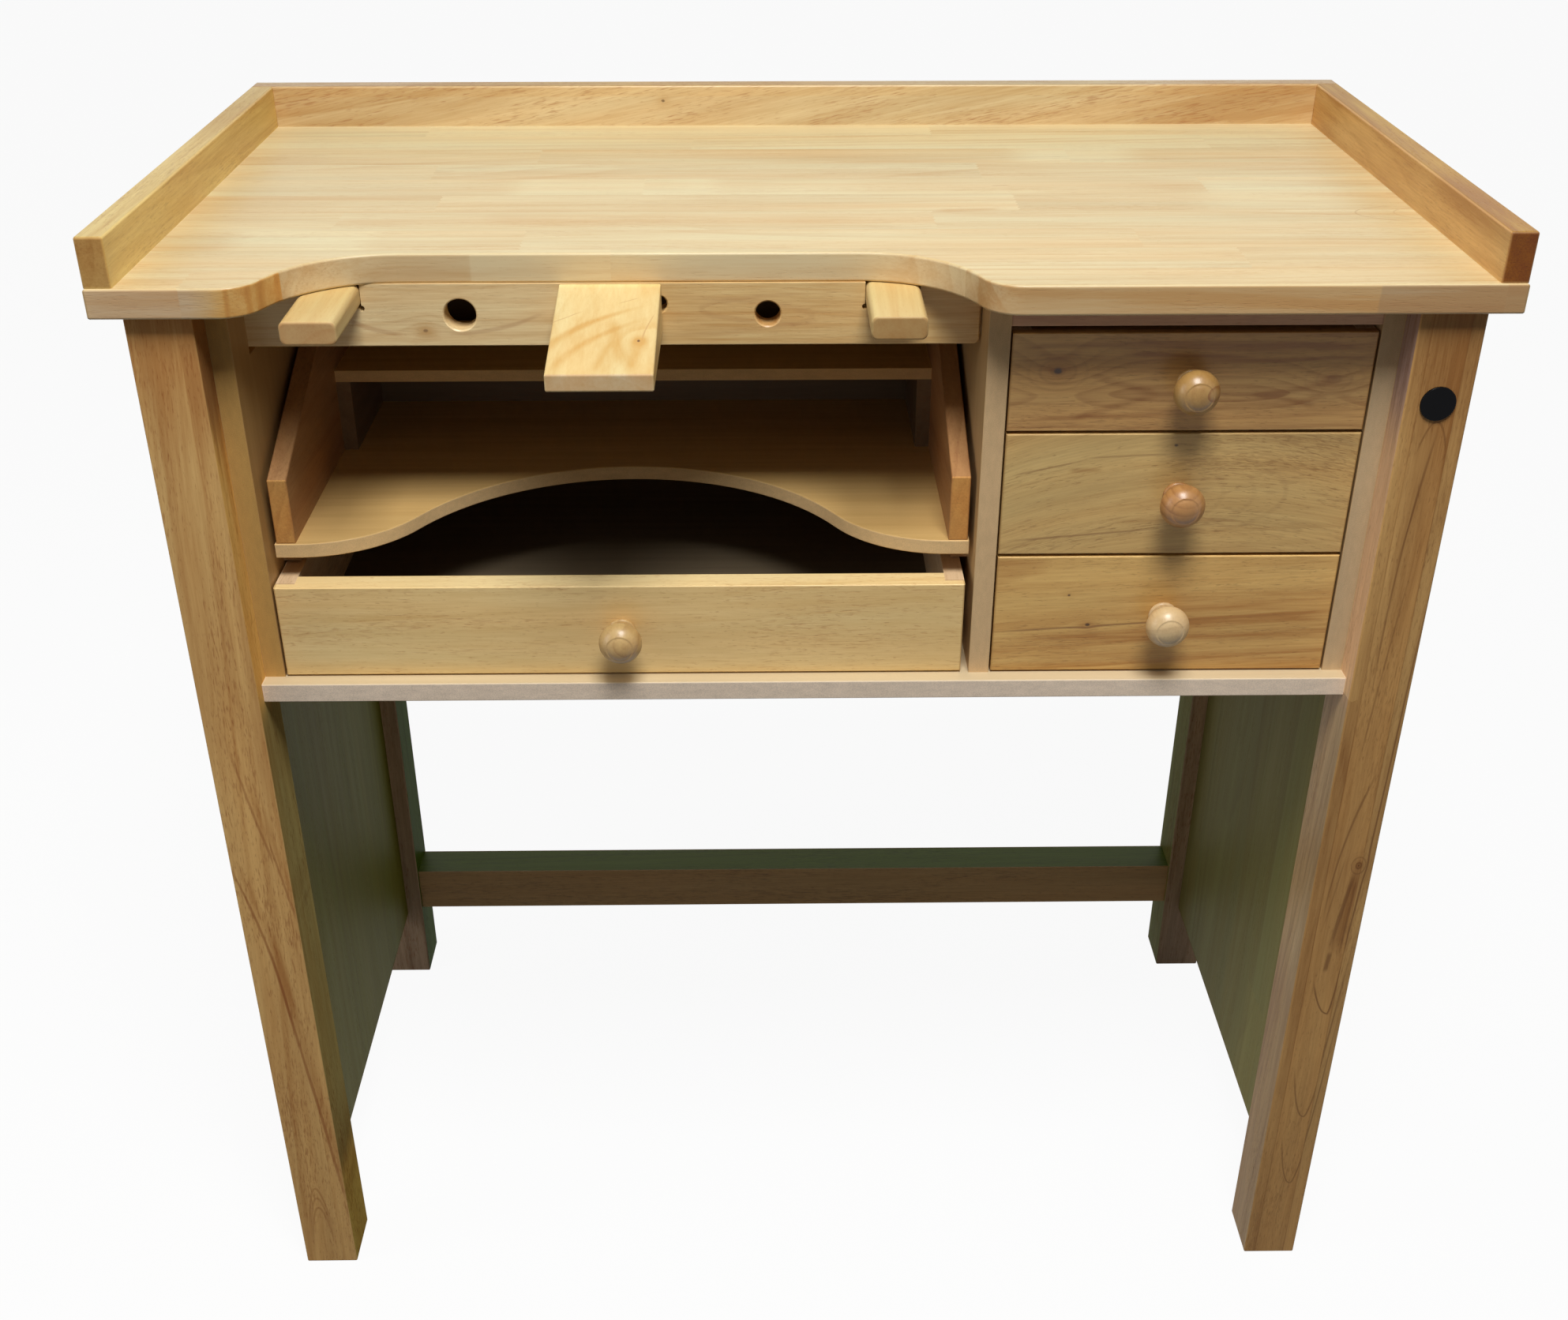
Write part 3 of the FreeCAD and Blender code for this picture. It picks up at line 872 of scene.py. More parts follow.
    def shade(self, site: Site, cut: Cut, late: Wire, glue: Any) -> Wire:
        """How far the wood goes from its pale to its deep colour.

        Args:
            site: the point.
            cut: how the board is cut.
            late: share of late wood.
            glue: 1 on a glue line.

        Returns:
            0 for pale, 1 for deep and more for the darkest figure.
        """
        grain = site.grain
        share = (late * self.rings + grain.streak * self.streaks + grain.band * self.bands
                 + grain.fibre * self.fibres + grain.cloud * self.clouds
                 + (self.base_shade + cut.shade - 0.10 * self.rings))
        if self.flank_figure:
            share = share + site.flank * (grain.streak + grain.band * 0.8) * self.flank_figure
        if cut.staves:
            share = share + (site.luck[1] - 0.5) * cut.staves.shade + glue * cut.staves.glue
        for patch in cut.patches:
            step = spot(patch, site.along, site.across, grain) * patch.shade
            share = share + (step * site.flank if patch.flank_only else step)
        for line in cut.streaks:
            if line.soft:
                share = share + line.ribbon(site.along, site.bent, grain)
        for knot in cut.knots:
            share = share + knot.near(site.along, site.across, knot.radius * 4.0) * knot.halo
        return share

    def pitting(self, site: Site, cut: Cut) -> tuple[Wire, Wire]:
        """Where vessels are cut open.

        Args:
            site: the point.
            cut: how the board is cut.

        Returns:
            The shares of long dashes and of short pores.
        """
        density = site.grain.density
        for patch in cut.pitting:
            density = density + spot(patch, site.along, site.across, site.grain) * patch.shade
        for_dashes, for_pores = self.density
        return ((site.grain.dash + density * for_dashes).rise(*self.dash_shown),
                (site.grain.pore + density * for_pores).rise(*self.pore_shown))

    def marked(self, colour: Wire, site: Site, cut: Cut) -> Wire:
        """Draw the flames, crisp streaks and knots.

        Args:
            colour: the wood without them.
            site: the point.
            cut: how the board is cut.

        Returns:
            The wood with them.
        """
        graph, along, across, grain = colour.graph, site.along, site.across, site.grain
        for flame in cut.flames:
            colour = graph.mix(colour, self.pore, flame.arches(along, site.bent, grain))
        for line in cut.streaks:
            if not line.soft:
                colour = graph.mix(colour, self.pore, line.ribbon(along, site.bent, grain))
        for knot in cut.knots:
            if knot.loops:
                colour = graph.mix(colour, self.pore, knot.rounds(along, across, grain))
            colour = graph.mix(colour, self.pore.toned(0.5),
                               knot.core(along, across, grain) * knot.dark)
        return colour


@dataclass(frozen=True)
class Board:
    """Fibreboard: a face with its own veneer or lacquer over a matt, finely speckled core."""

    name: str
    core: Colour
    face: Colour
    face_deep: Colour
    speckle: float = 0.10
    roughness: float = 0.5
    core_roughness: float = 0.78
    coat: float = 0.08
    skin: float = 0.0007
    edge_width: float = 0.0014
    # Edge lightening: partly wear, partly a painted highlight.
    edge_wear_and_sheen: float = 0.3
    figure: Span = (0.9, 0.7)
    mottle: Triple = (1.1, 0.6, 0.6)
    veneer_height: float = 0.4
    veneer_dullness: float = 0.08
    relief: Span = (0.5, 0.00012)

    def dress(self, piece: bpy.types.Object, lay: Lay, seed: float) -> None:
        """Give the piece this board.

        Args:
            piece: what is dressed.
            lay: the face's fibre direction and the direction through the board.
            seed: keeps two boards from looking alike.
        """
        graph = Graph(bpy.data.materials.new(f"{piece.name}_{self.name}"))
        low, high = limits(piece)
        point = graph.point()
        along, across, through = (point[i] for i in lay.value)
        place = graph.vector(along + seed * 1.9, across + seed * 0.7, through + seed)
        depth = (through - low[lay.value[2]]).least(high[lay.value[2]] - through)
        faced = depth.rise(self.skin, self.skin * 0.6)
        veneer, cloud, speck, clump = (graph.noise(place, weave) for weave in (
            Weave.VENEER, Weave.VENEER_CLOUD, Weave.SPECK, Weave.CLUMP))
        lines, clouds = self.figure
        face = graph.mix(self.face, self.face_deep, veneer * lines + cloud * clouds + 0.5)
        fine, coarse, broad = self.mottle
        core = graph.mix(self.core.toned(1.0 + self.speckle), self.core.toned(1.0 - self.speckle),
                         speck * fine + clump * coarse + cloud * broad + 0.5)
        # Edges lighten towards the core's tone: partly wear, partly a painted highlight.
        edge_wear_and_sheen = edge_share(point, low, high, self.edge_width)
        colour = graph.mix(graph.mix(core, face, faced), self.core.toned(1.1), edge_wear_and_sheen * self.edge_wear_and_sheen)
        gloss = self.core_roughness - self.roughness
        graph.cover(piece, speck * (1.0 - faced) + veneer * self.veneer_height, self.relief, {
            "Base Color": colour,
            "Roughness": veneer * self.veneer_dullness - faced * gloss + self.core_roughness,
            "Specular IOR Level": 0.3,
            "Coat Weight": faced * self.coat, "Coat Roughness": 0.3})


@dataclass(frozen=True)
class PlainFinish:
    """Metal or plastic with faint marks from handling."""

    name: str
    colour: Colour
    roughness: float
    metallic: float = 0.0
    marks: float = 0.08
    specular: float = 0.5
    relief: Span = (0.15, 0.00003)

    def dress(self, piece: bpy.types.Object) -> None:
        """Give the piece this finish.

        Args:
            piece: what is dressed.
        """
        graph = Graph(bpy.data.materials.new(f"{piece.name}_{self.name}"))
        place = graph.vector(*graph.point())
        smear = graph.noise(place, Weave.SMEAR)
        graph.cover(piece, graph.noise(place, Weave.SCRATCH), self.relief, {
            "Base Color": graph.mix(self.colour, self.colour.toned(0.8), smear + 0.5),
            "Roughness": self.roughness + smear * self.marks,
            "Metallic": self.metallic, "Specular IOR Level": self.specular})


# ---------------------------------------------------------------- this bench's woods and boards, some carrying painted shade, light and reflection
DARK_PORE = Colour(116, 70, 36)
HONEY = Timber("honey_top", Colour(222, 210, 166), Colour(197, 163, 108), Colour(166, 108, 56),
               flank=Colour(248, 240, 240), rings=0.45, fibres=0.5, clouds=0.9, pores=0.12,
               dashes=0.14, roughness=0.45, coat=0.15, flank_figure=0.3)
STRAW_RIM = Timber("straw_rim", Colour(236, 212, 132), Colour(192, 150, 72), Colour(150, 94, 42),
                   flank=Colour(234, 240, 254), ends=Colour(223, 195, 175), dashes=0.25)
AMBER_RIM = replace(STRAW_RIM, name="amber_rim", pale=Colour(226, 206, 158),
                    deep=Colour(188, 151, 98), pore=Colour(160, 100, 52), dashes=0.5,
                    dash_length=0.016, pores=0.45, pore_length=0.009)
RUSSET_RIM = replace(STRAW_RIM, name="russet_rim", pale=Colour(236, 200, 130),
                     deep=Colour(183, 134, 70), flank=Colour(212, 200, 136),
                     ends=Colour(183, 142, 101), clouds=2.2, bands=1.0)
# The front legs' flank colours, above 255 and bluish on the right leg, brighten their side faces: a
# painted reflection in place of the sheen their low specular leaves out.
TAN_LEG = Timber("tan_leg", Colour(228, 189, 124), Colour(186, 136, 80), Colour(150, 86, 44),
                 flank=Colour(284, 290, 266), ring_width=0.009, streaks=0.9, bands=0.8, dashes=0.45,
                 dash_length=0.012, pores=0.45, specular=0.0, coat=0.12, flank_coat=0.0)
BROWN_LEG = replace(TAN_LEG, name="brown_leg", pale=Colour(208, 165, 104), deep=Colour(150, 106, 59),
                    pore=Colour(104, 62, 32), flank=Colour(291, 312, 390), rings=0.5, dashes=0.22,
                    pores=0.3, specular=0.07)
REAR_LEG = replace(TAN_LEG, name="rear_leg", pale=Colour(217, 188, 156),
                   deep=Colour(160, 131, 102), flank=Colour(255, 255, 235), specular=0.005)
PANEL = Timber("side_panel", Colour(208, 166, 104), Colour(162, 120, 70), Colour(96, 60, 34),
               rings=0.25, streaks=0.5, bands=0.4, clouds=0.4, dashes=0.1, pores=0.2, fibres=0.3,
               roughness=0.6, coat=0.0, specular=0.1)
# Casts on the side panels' inner faces: a painted green reflection and painted shade, deeper on the
# left panel.
PAINTED_SPILL_AND_SHADE = Colour(192, 234, 226)
PAINTED_DEEP_SPILL_AND_SHADE = Colour(134, 168, 80)
# The green flank colour darkens the top, bottom and end faces of the stretcher and rail: a painted
# green reflection and shade.
BROWN = Timber("brown_rail", Colour(214, 176, 122), Colour(164, 127, 78), Colour(82, 50, 28),
               flank=Colour(128, 188, 76), streaks=0.6, bands=0.4, clouds=0.4, coat=0.0,
               specular=0.2)
ROSY_RAIL = Timber("rosy_rail", Colour(200, 158, 120), Colour(160, 114, 82), DARK_PORE)
FRONT = Timber("drawer_front", Colour(217, 186, 122), Colour(159, 119, 66), Colour(112, 68, 34),
               ring_width=0.012, rings=0.6, bands=0.5, dashes=0.22, dash_length=0.012, pores=0.30)
BROWN_FRONT = replace(FRONT, name="brown_drawer_front", pale=Colour(216, 176, 112),
                      deep=Colour(148, 103, 56), pore=Colour(100, 60, 30), ring_width=0.0070,
                      rings=1.7, bands=0.7, dashes=0.28)
AMBER_FRONT = replace(FRONT, name="amber_drawer_front", pale=Colour(236, 201, 127),
                      deep=Colour(176, 126, 64))
CATCH = replace(FRONT, name="catch_front", pale=Colour(244, 218, 158), deep=Colour(214, 179, 114),
                pore=Colour(170, 105, 55), flank=Colour(262, 267, 277), rings=0.3,
                dashes=0.24, pores=0.35)
APRON = Timber("apron", Colour(238, 220, 172), Colour(188, 144, 84), Colour(160, 102, 58),
               rings=0.35, bands=0.5, dashes=0.12, pores=0.18)
GOLD = Timber("gold_pin", Colour(240, 229, 170), Colour(213, 173, 98), Colour(176, 104, 46),
              flank=Colour(246, 244, 248), ends=Colour(240, 233, 252), rings=0.35, fibres=0.3,
              dashes=0.0, pores=0.05, roughness=0.45, coat=0.1)
AMBER_ARM = replace(GOLD, name="amber_armrest", pale=Colour(222, 206, 146),
                    deep=Colour(192, 148, 84), ends=Colour(234, 216, 212), dashes=0.05, pores=0.10)
TAWNY_ARM = replace(AMBER_ARM, name="tawny_armrest", ends=Colour(217, 201, 188))
PALE = Timber("pale_side", Colour(228, 202, 164), Colour(194, 161, 120), Colour(150, 112, 74),
              roughness=0.6, coat=0.0)
# The tray walls' faces are darkened, painted shade, and their flanks and ends, above 255,
# brightened, painted light.
ROSE = Timber("rose_tray", Colour(174, 130, 84), Colour(144, 98, 60), Colour(120, 76, 44),
              flank=Colour(276, 285, 290), ends=Colour(291, 287, 244), roughness=0.5, coat=0.05)
# Darker wood for the tray's supports and back: painted shade inside the case.
PAINTED_SHADE_TRAY = replace(ROSE, name="painted_shade_tray", pale=Colour(112, 92, 68), deep=Colour(90, 70, 50),
              flank=WHITE, ends=Colour(290, 290, 285))
KNOB = Timber("knob", Colour(195, 164, 100), Colour(134, 92, 43), Colour(125, 78, 42),
              ends=WHITE, ring_width=0.006, rings=0.6, streaks=0.6, bands=0.5,
              fibres=0.3, clouds=1.1, dashes=0.04, pores=0.06, roughness=0.4, coat=0.45,
              coat_roughness=0.26, flank_coat=1.0, edge=0.0)
CATCH_KNOB = replace(KNOB, name="catch_knob", pale=Colour(212, 184, 125), deep=Colour(148, 106, 57))
PALE_KNOB = replace(KNOB, name="pale_knob", pale=Colour(212, 187, 142), deep=Colour(138, 97, 52),
                    rings=0.35)
RED_KNOB = replace(KNOB, name="red_knob", pale=Colour(185, 138, 82), deep=Colour(137, 92, 50))
LEFT_SIDE = Board("golden_side", Colour(192, 152, 86), Colour(188, 150, 96), Colour(160, 122, 70))
CASE = Board("case_board", Colour(211, 178, 133), Colour(206, 174, 126), Colour(180, 146, 98))
RIGHT_SIDE = replace(CASE, name="rosy_side", core=Colour(200, 175, 137))
SHELF = Board("shelf_board", Colour(236, 216, 193), Colour(221, 201, 164), Colour(200, 179, 140),
              speckle=0.12)
TRAY = Board("tray_board", Colour(220, 186, 134), Colour(222, 186, 122), Colour(190, 150, 88))
BACKING = Board("backing", Colour(136, 106, 74), Colour(128, 98, 66), Colour(102, 76, 50))
PLY = Board("drawer_ply", Colour(170, 138, 96), Colour(176, 138, 92), Colour(150, 114, 74))
# Darker plywood for the catch drawer's bottom: painted shade inside the drawer.
PAINTED_SHADE_PLY = Board("painted_shade_ply", Colour(150, 128, 98), Colour(120, 106, 84), Colour(90, 78, 60))
STEEL = PlainFinish("steel", Colour(190, 190, 186), 0.3, metallic=1.0)
BLACK = PlainFinish("black_badge", Colour(10, 10, 13), 0.25, specular=0.08)


# ---------------------------------------------------------------- sub-assemblies
def node(name: str) -> bpy.types.Object:
    """The CAD node of that name."""
    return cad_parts[name]


@dataclass
class Worktop:
    """The edge-glued top and the three rims that stand on it."""

    stave_width: float = 0.050
    stave_length: float = 0.46
    first_joint: float = -0.2395
    rear_rows: Span = (0.1605, 0.2515)
    rim_height: Span = (0.960, 1.020)

    def rows(self, first: int, count: int = 1) -> Span:
        """From where to where some rows of staves lie, counted from the front."""
        start = self.first_joint + first * self.stave_width
        return start, start + count * self.stave_width

    def dress(self) -> None:
        """Finish the top and rims."""
        self.dress_top()
        self.dress_rims()
        LOG.info("worktop and rims dressed")

    def dress_top(self) -> None:
        """Finish the top."""
        staves = Staves(self.stave_width, self.stave_length, self.first_joint, shade=0.09)
        front, second = self.rows(0), self.rows(1)
        patches = (Patch((-0.234, -0.072), self.rows(5), -0.30, fade=0.016),
                   Patch((0.190, 0.290), self.rows(7), -0.35, fade=0.020),
                   Patch((0.325, 0.430), self.rows(4, 2), -0.20, fade=0.025),
                   Patch((-0.425, -0.326), self.rows(2), -0.28, fade=0.014),
                   # Lighter along the back rows: painted light.
                   Patch((-0.480, 0.480), self.rear_rows, -0.35, fade=0.050),
                   Patch((-0.500, -0.330), front, 0.28, True, 0.012),
                   Patch((-0.404, -0.386), front, 0.22, True, 0.006),
                   Patch((-0.330, -0.246), second, 0.20, True, 0.004),
                   Patch((-0.246, 0.150), second, -0.25, True, 0.001),
                   Patch((0.120, 0.397), front, 0.42, True, 0.001),
                   Patch((0.397, 0.500), front, 0.52, True, 0.001))
        bands = tuple(Patch((place, place + 0.0020), front, 0.9, True, 0.0016)
                      for place in (-0.404, -0.391, -0.385, -0.377))
        HONEY.dress(node("worktop"), Cut(
            Lay.TOP, 3.0, pith=(0.0, -0.10), patches=patches + bands, staves=staves,
            tints=(Tint((-0.500, -0.424), front, Colour(252, 258, 280), True, 0.008),
                   Tint((-0.412, -0.312), front, Colour(264, 250, 208), True, 0.008),
                   Tint((-0.364, -0.312), front, Colour(247, 233, 196), True, 0.010),
                   Tint((0.397, 0.500), front, Colour(238, 244, 262), True, 0.001)),
            flames=(Flame(0.433, -0.052, 60.0, 0.030, 0.09, 0.30, 0.026),),
            streaks=(Streak((0.155, 0.172), 0.036, 0.0009, 0.1, 0.6),
                     Streak((0.100, 0.160), -0.040, 0.0050, 0.05, 0.5, soft=True))))

    def dress_rims(self) -> None:
        """Finish the rims."""
        AMBER_RIM.dress(node("back_rim"), Cut(
            Lay.FRONT, 5.0, pith=(0.05, 0.12), slant=-0.20,
            patches=(Patch((-0.520, -0.260), self.rim_height, 0.27, fade=0.090),
                     Patch((-0.180, 0.330), self.rim_height, 0.08, fade=0.090),
                     Patch((0.330, 0.520), self.rim_height, 0.46, fade=0.090)),
            tints=(Tint((-0.340, 0.050), self.rim_height, Colour(236, 217, 166), True, 0.080),
                   Tint((0.050, 0.300), self.rim_height, Colour(246, 240, 220), True, 0.050),
                   Tint(WHOLE, WHOLE, Colour(255, 260, 268), side=-1)),
            knots=(Knot(-0.123, 0.996, 0.0012, 0.002, 0.008, 0.7, 0.3, 0.001),)))
        STRAW_RIM.dress(node("left_rim"), Cut(
            Lay.SIDE, 7.0, pith=(0.04, -0.09),
            patches=(Patch((-0.240, 0.080), self.rim_height, -0.08, fade=0.050),
                     Patch((0.080, 0.300), self.rim_height, 0.32, fade=0.090))))
        RUSSET_RIM.dress(node("right_rim"), Cut(
            Lay.SIDE, 9.0, pith=(0.03, 0.10),
            patches=(Patch((-0.240, -0.080), self.rim_height, 0.40, fade=0.050),
                     Patch((0.170, 0.300), self.rim_height, 0.30, fade=0.060)),
            tints=(Tint((-0.2275, 0.300), self.rim_height, Colour(252, 254, 208), True),
                   Tint((-0.300, -0.2275), self.rim_height, Colour(268, 283, 290), True))))


@dataclass
class StandFrame:
    """Legs, side panels, stretcher and rear rail."""

    panel_stave: float = 0.055
    leg_seams: Span = (0.442, 0.4696)
    left_face: Span = (-0.482, -0.430)
    right_face: Span = (0.430, 0.482)
    left_flank: Span = (-0.440, -0.420)
    right_flank: Span = (0.420, 0.440)
    board_edge: Span = (-0.200, -0.070)

    def dress(self) -> None:
        """Finish the frame."""
        self.dress_front_legs()
        # The casts on the rear legs' inner flanks are painted: green-grey shade on the left leg, a
        # green painted reflection on the right.
        REAR_LEG.dress(node("rear_left_leg"), Cut(
            Lay.POST, 15.0, pith=(-0.09, 0.05),
            tints=(Tint(WHOLE, self.left_flank, Colour(120, 177, 79), True),)))
        REAR_LEG.dress(node("rear_right_leg"), Cut(
            Lay.POST, 17.0, pith=(0.08, 0.06),
            tints=(Tint(WHOLE, self.right_flank, Colour(245, 290, 245), True),)))
        lit = (Patch(WHOLE, self.board_edge, -0.25),)
        # Each panel's inner face takes its cast of painted green reflection and shade.
        for name, seed, cast, inner, patches in (
                ("left_side_panel", 19.0, PAINTED_DEEP_SPILL_AND_SHADE, 1, ()),
                ("right_side_panel", 23.0, PAINTED_SPILL_AND_SHADE, -1, lit)):
            PANEL.dress(node(name), Cut(
                Lay.WALL, seed, staves=Staves(self.panel_stave, shade=0.18), patches=patches,
                tints=(Tint(WHOLE, WHOLE, cast, side=inner),)))
        for name, seed in (("rear_stretcher", 29.0), ("rear_rail", 31.0)):
            BROWN.dress(node(name), Cut(Lay.FRONT, seed, pith=(0.02, 0.07)))
        LOG.info("stand frame dressed")

    def dress_front_legs(self) -> None:
        """Finish the two front legs."""
        TAN_LEG.dress(node("front_left_leg"), Cut(
            Lay.POST, 11.0, pith=(0.10, 0.05), lean=(0.03, 0.02), slant=-0.04,
            staves=Staves(seams=(-0.4440,), shade=0.15),
            # Darker at the top of the front face: painted shadow of the worktop's overhang.
            patches=(Patch((0.860, 1.000), self.left_face, 0.60, fade=0.060),
                     Patch((-0.050, 0.560), self.left_face, -0.22, fade=0.040)),
            streaks=(Streak((0.270, 0.500), -0.4515, 0.0018, 0.0, 0.60, bow=-0.68),
                     Streak((0.050, 0.420), -0.4265, 0.0018, -0.100, 0.60),
                     Streak((0.400, 0.610), -0.4300, 0.0016, -0.165, 0.50),
                     Streak((0.280, 0.500), -0.4475, 0.0060, 0.0, 0.40, -0.68, True),
                     Streak((0.050, 0.420), -0.4225, 0.0060, -0.100, 0.40, soft=True),
                     Streak((0.400, 0.610), -0.4260, 0.0050, -0.165, 0.30, soft=True),
                     Streak((0.330, 0.640), -0.4650, 0.0060, 0.05, -0.35, soft=True)),
            flames=(Flame(0.098, -0.4600, 420.0, 0.013, -0.045, 0.50, 0.012, 0.0013),),
            # The inner flank is darkened low down and under the worktop: painted shade over the
            # flank's painted reflection.
            tints=(Tint((-0.100, 0.120), self.left_flank, Colour(222, 229, 206), True, 0.040),
                   Tint((0.120, 0.625), self.left_flank, Colour(190, 205, 218), True, 0.020),
                   Tint((0.860, 1.000), self.left_flank, Colour(196, 192, 215), True, 0.030))))
        BROWN_LEG.dress(node("front_right_leg"), Cut(
            Lay.POST, 13.0, pith=(0.002, 0.050), lean=(0.02, -0.055), wander=0.012,
            staves=Staves(seams=self.leg_seams, shade=0.30, glue=0.3),
            knots=(Knot(0.4670, 0.4672, 0.0010, 0.003, 0.012, 0.6, 0.5, 0.002, 0.6, 0.0040),),
            streaks=(Streak((0.372, 0.470), 0.4570, 0.0022, 0.060, 0.55, bow=0.5),
                     Streak((0.366, 0.466), 0.4620, 0.0060, 0.050, 0.60, soft=True),
                     Streak((0.362, 0.468), 0.4655, 0.0014, 0.030, 0.45),
                     Streak((0.400, 0.575), 0.4465, 0.0013, -0.010, 0.50, bow=0.85),
                     Streak((0.395, 0.480), 0.4470, 0.0010, 0.120, 0.30),
                     Streak((0.350, 0.376), 0.4560, 0.0026, 0.080, 0.60),
                     Streak((0.630, 0.870), 0.4508, 0.0013, -0.050, 0.50, bow=0.36),
                     Streak((0.560, 0.760), 0.4500, 0.0011, 0.060, 0.35),
                     Streak((0.740, 0.870), 0.4475, 0.0012, 0.095, 0.40)),
            # Darker at the top of the front face: painted shadow of the worktop's overhang.
            patches=(Patch((0.870, 1.000), self.right_face, 0.50, fade=0.050),
                     Patch((0.440, 0.610), self.right_face, 0.14, fade=0.040),
                     Patch((0.140, 0.300), self.right_face, -0.06, fade=0.040)),
            # The inner flank is brighter in its middle, a painted reflection, and darker low down
            # and under the worktop, painted shade.
            tints=(Tint((-0.100, 0.330), self.right_flank, Colour(236, 233, 198), True, 0.040),
                   Tint((0.330, 0.625), self.right_flank, Colour(262, 272, 250), True, 0.030),
                   Tint((0.870, 1.000), self.right_flank, Colour(212, 218, 255), True, 0.030)),
            flames=(Flame(0.304, 0.4641, 1018.0, 0.200, 0.060, 0.75, 0.0175, 0.0009, 0.858),
                    Flame(0.180, 0.4613, 500.0, 0.200, 0.060, 0.60, 0.0175, 0.0009, 0.56),
                    Flame(0.095, 0.4620, 509.0, 0.200, 0.070, 0.55, 0.0180, 0.0008, 0.58),
                    Flame(0.868, 0.4570, 200.0, 0.200, -0.06, 0.45, 0.012))))


@dataclass
class Case:
    """The boards of the drawer case."""

    def dress(self) -> None:
        """Finish the case."""
        SHELF.dress(node("bottom_shelf"), Lay.TOP, 1.0)
        LEFT_SIDE.dress(node("left_case_side"), Lay.WALL, 2.0)
        RIGHT_SIDE.dress(node("right_case_side"), Lay.WALL, 3.0)
        CASE.dress(node("partition"), Lay.WALL, 4.0)
        BACKING.dress(node("back_panel"), Lay.FRONT, 5.0)
        ROSY_RAIL.dress(node("drawer_top_rail"), Cut(Lay.FRONT, 37.0))
        for name, seed in (("drawer_runners", 39.0), ("tray_runners", 41.0)):
            PALE.dress(node(name), Cut(Lay.ARM, seed))
        LOG.info("case dressed")


@dataclass
class WorkFront:
    """The front rail of the cut-out with its bench pin and armrests."""

    rail_height: Span = (0.900, 0.960)
    beside_pin: Span = (-0.160, 0.140)

    def dress(self) -> None:
        """Finish the rail, the pin and the armrests."""
        APRON.dress(node("apron"), Cut(
            Lay.FRONT, 43.0, pith=(-0.20, 0.02), lean=(0.02, 0.03), wander=0.03,
            patches=(Patch((-0.422, -0.210), self.rail_height, -0.12, fade=0.040),
                     Patch(self.beside_pin, self.rail_height, 0.15, fade=0.040)),
            tints=(Tint(self.beside_pin, self.rail_height, Colour(258, 255, 241), fade=0.040),),
            knots=(Knot(-0.283, 0.916, 0.0014, -0.012, 0.012, 0.55, 0.5, 0.002),),
            streaks=(Streak((-0.345, -0.297), 0.9280, 0.0026, -0.55, 0.32, bow=5.0),
                     Streak((-0.272, -0.190), 0.9135, 0.0026, -0.05, 0.32, bow=3.2)),
            flames=(Flame(-0.078, 0.9310, 500.0, 0.200, 0.040, 0.25, 0.014, 0.0022),
                    Flame(0.004, 0.9260, 420.0, 0.200, -0.080, 0.28, 0.018, 0.0024))))
        GOLD.dress(node("bench_pin"), Cut(
            Lay.ARM, 47.0, pith=(0.02, -0.05), lean=(0.35, 0.3),
            knots=(Knot(-0.2285, -0.1195, 0.0011, 0.008, 0.014, 0.9, 0.4),),
            streaks=(Streak((-0.2300, -0.1900), -0.1200, 0.0007, 0.30, 0.35),
                     Streak((-0.1790, -0.1700), -0.1370, 0.0014, 1.90, 0.35),
                     Streak((-0.2070, -0.1880), -0.1860, 0.0013, 1.40, 0.30),
                     Streak((-0.2520, -0.1780), -0.1860, 0.0080, 0.05, 0.45, 13.0, True),
                     Streak((-0.2720, -0.1950), -0.1790, 0.0070, 0.20, 0.32, 9.0, True),
                     Streak((-0.2660, -0.1930), -0.1260, 0.0090, -0.20, 0.38, soft=True),
                     Streak((-0.2715, -0.2180), -0.1245, 0.0060, 0.14, 0.35, soft=True),
                     Streak((-0.2715, -0.2250), -0.1500, 0.0050, 0.30, 0.25, soft=True))))
        AMBER_ARM.dress(node("left_armrest"), Cut(Lay.ARM, 53.0, pith=(0.03, -0.04)))
        TAWNY_ARM.dress(node("right_armrest"), Cut(Lay.ARM, 59.0, pith=(0.0, 0.03)))
        LOG.info("work front dressed")


def finished(name: str, mesh: bmesh.types.BMesh, smooth: bool = False) -> bpy.types.Object:
    """Turn a bmesh into a linked object.

    Args:
        name: the piece's name.
        mesh: the bmesh, freed here.
        smooth: shade its faces smooth.

    Returns:
        The new object, at the origin.
    """
    data = bpy.data.meshes.new(name)
    mesh.to_mesh(data)
    mesh.free()
    for polygon in data.polygons:
        polygon.use_smooth = smooth
    piece = bpy.data.objects.new(name, data)
    bpy.context.scene.collection.objects.link(piece)
    return piece


def subdivide(piece: bpy.types.Object, levels: int) -> None:
    """Add a Subdivision Surface modifier with the same levels in view and render."""
    modifier = piece.modifiers.new("subdivision", "SUBSURF")
    modifier.levels = modifier.render_levels = levels


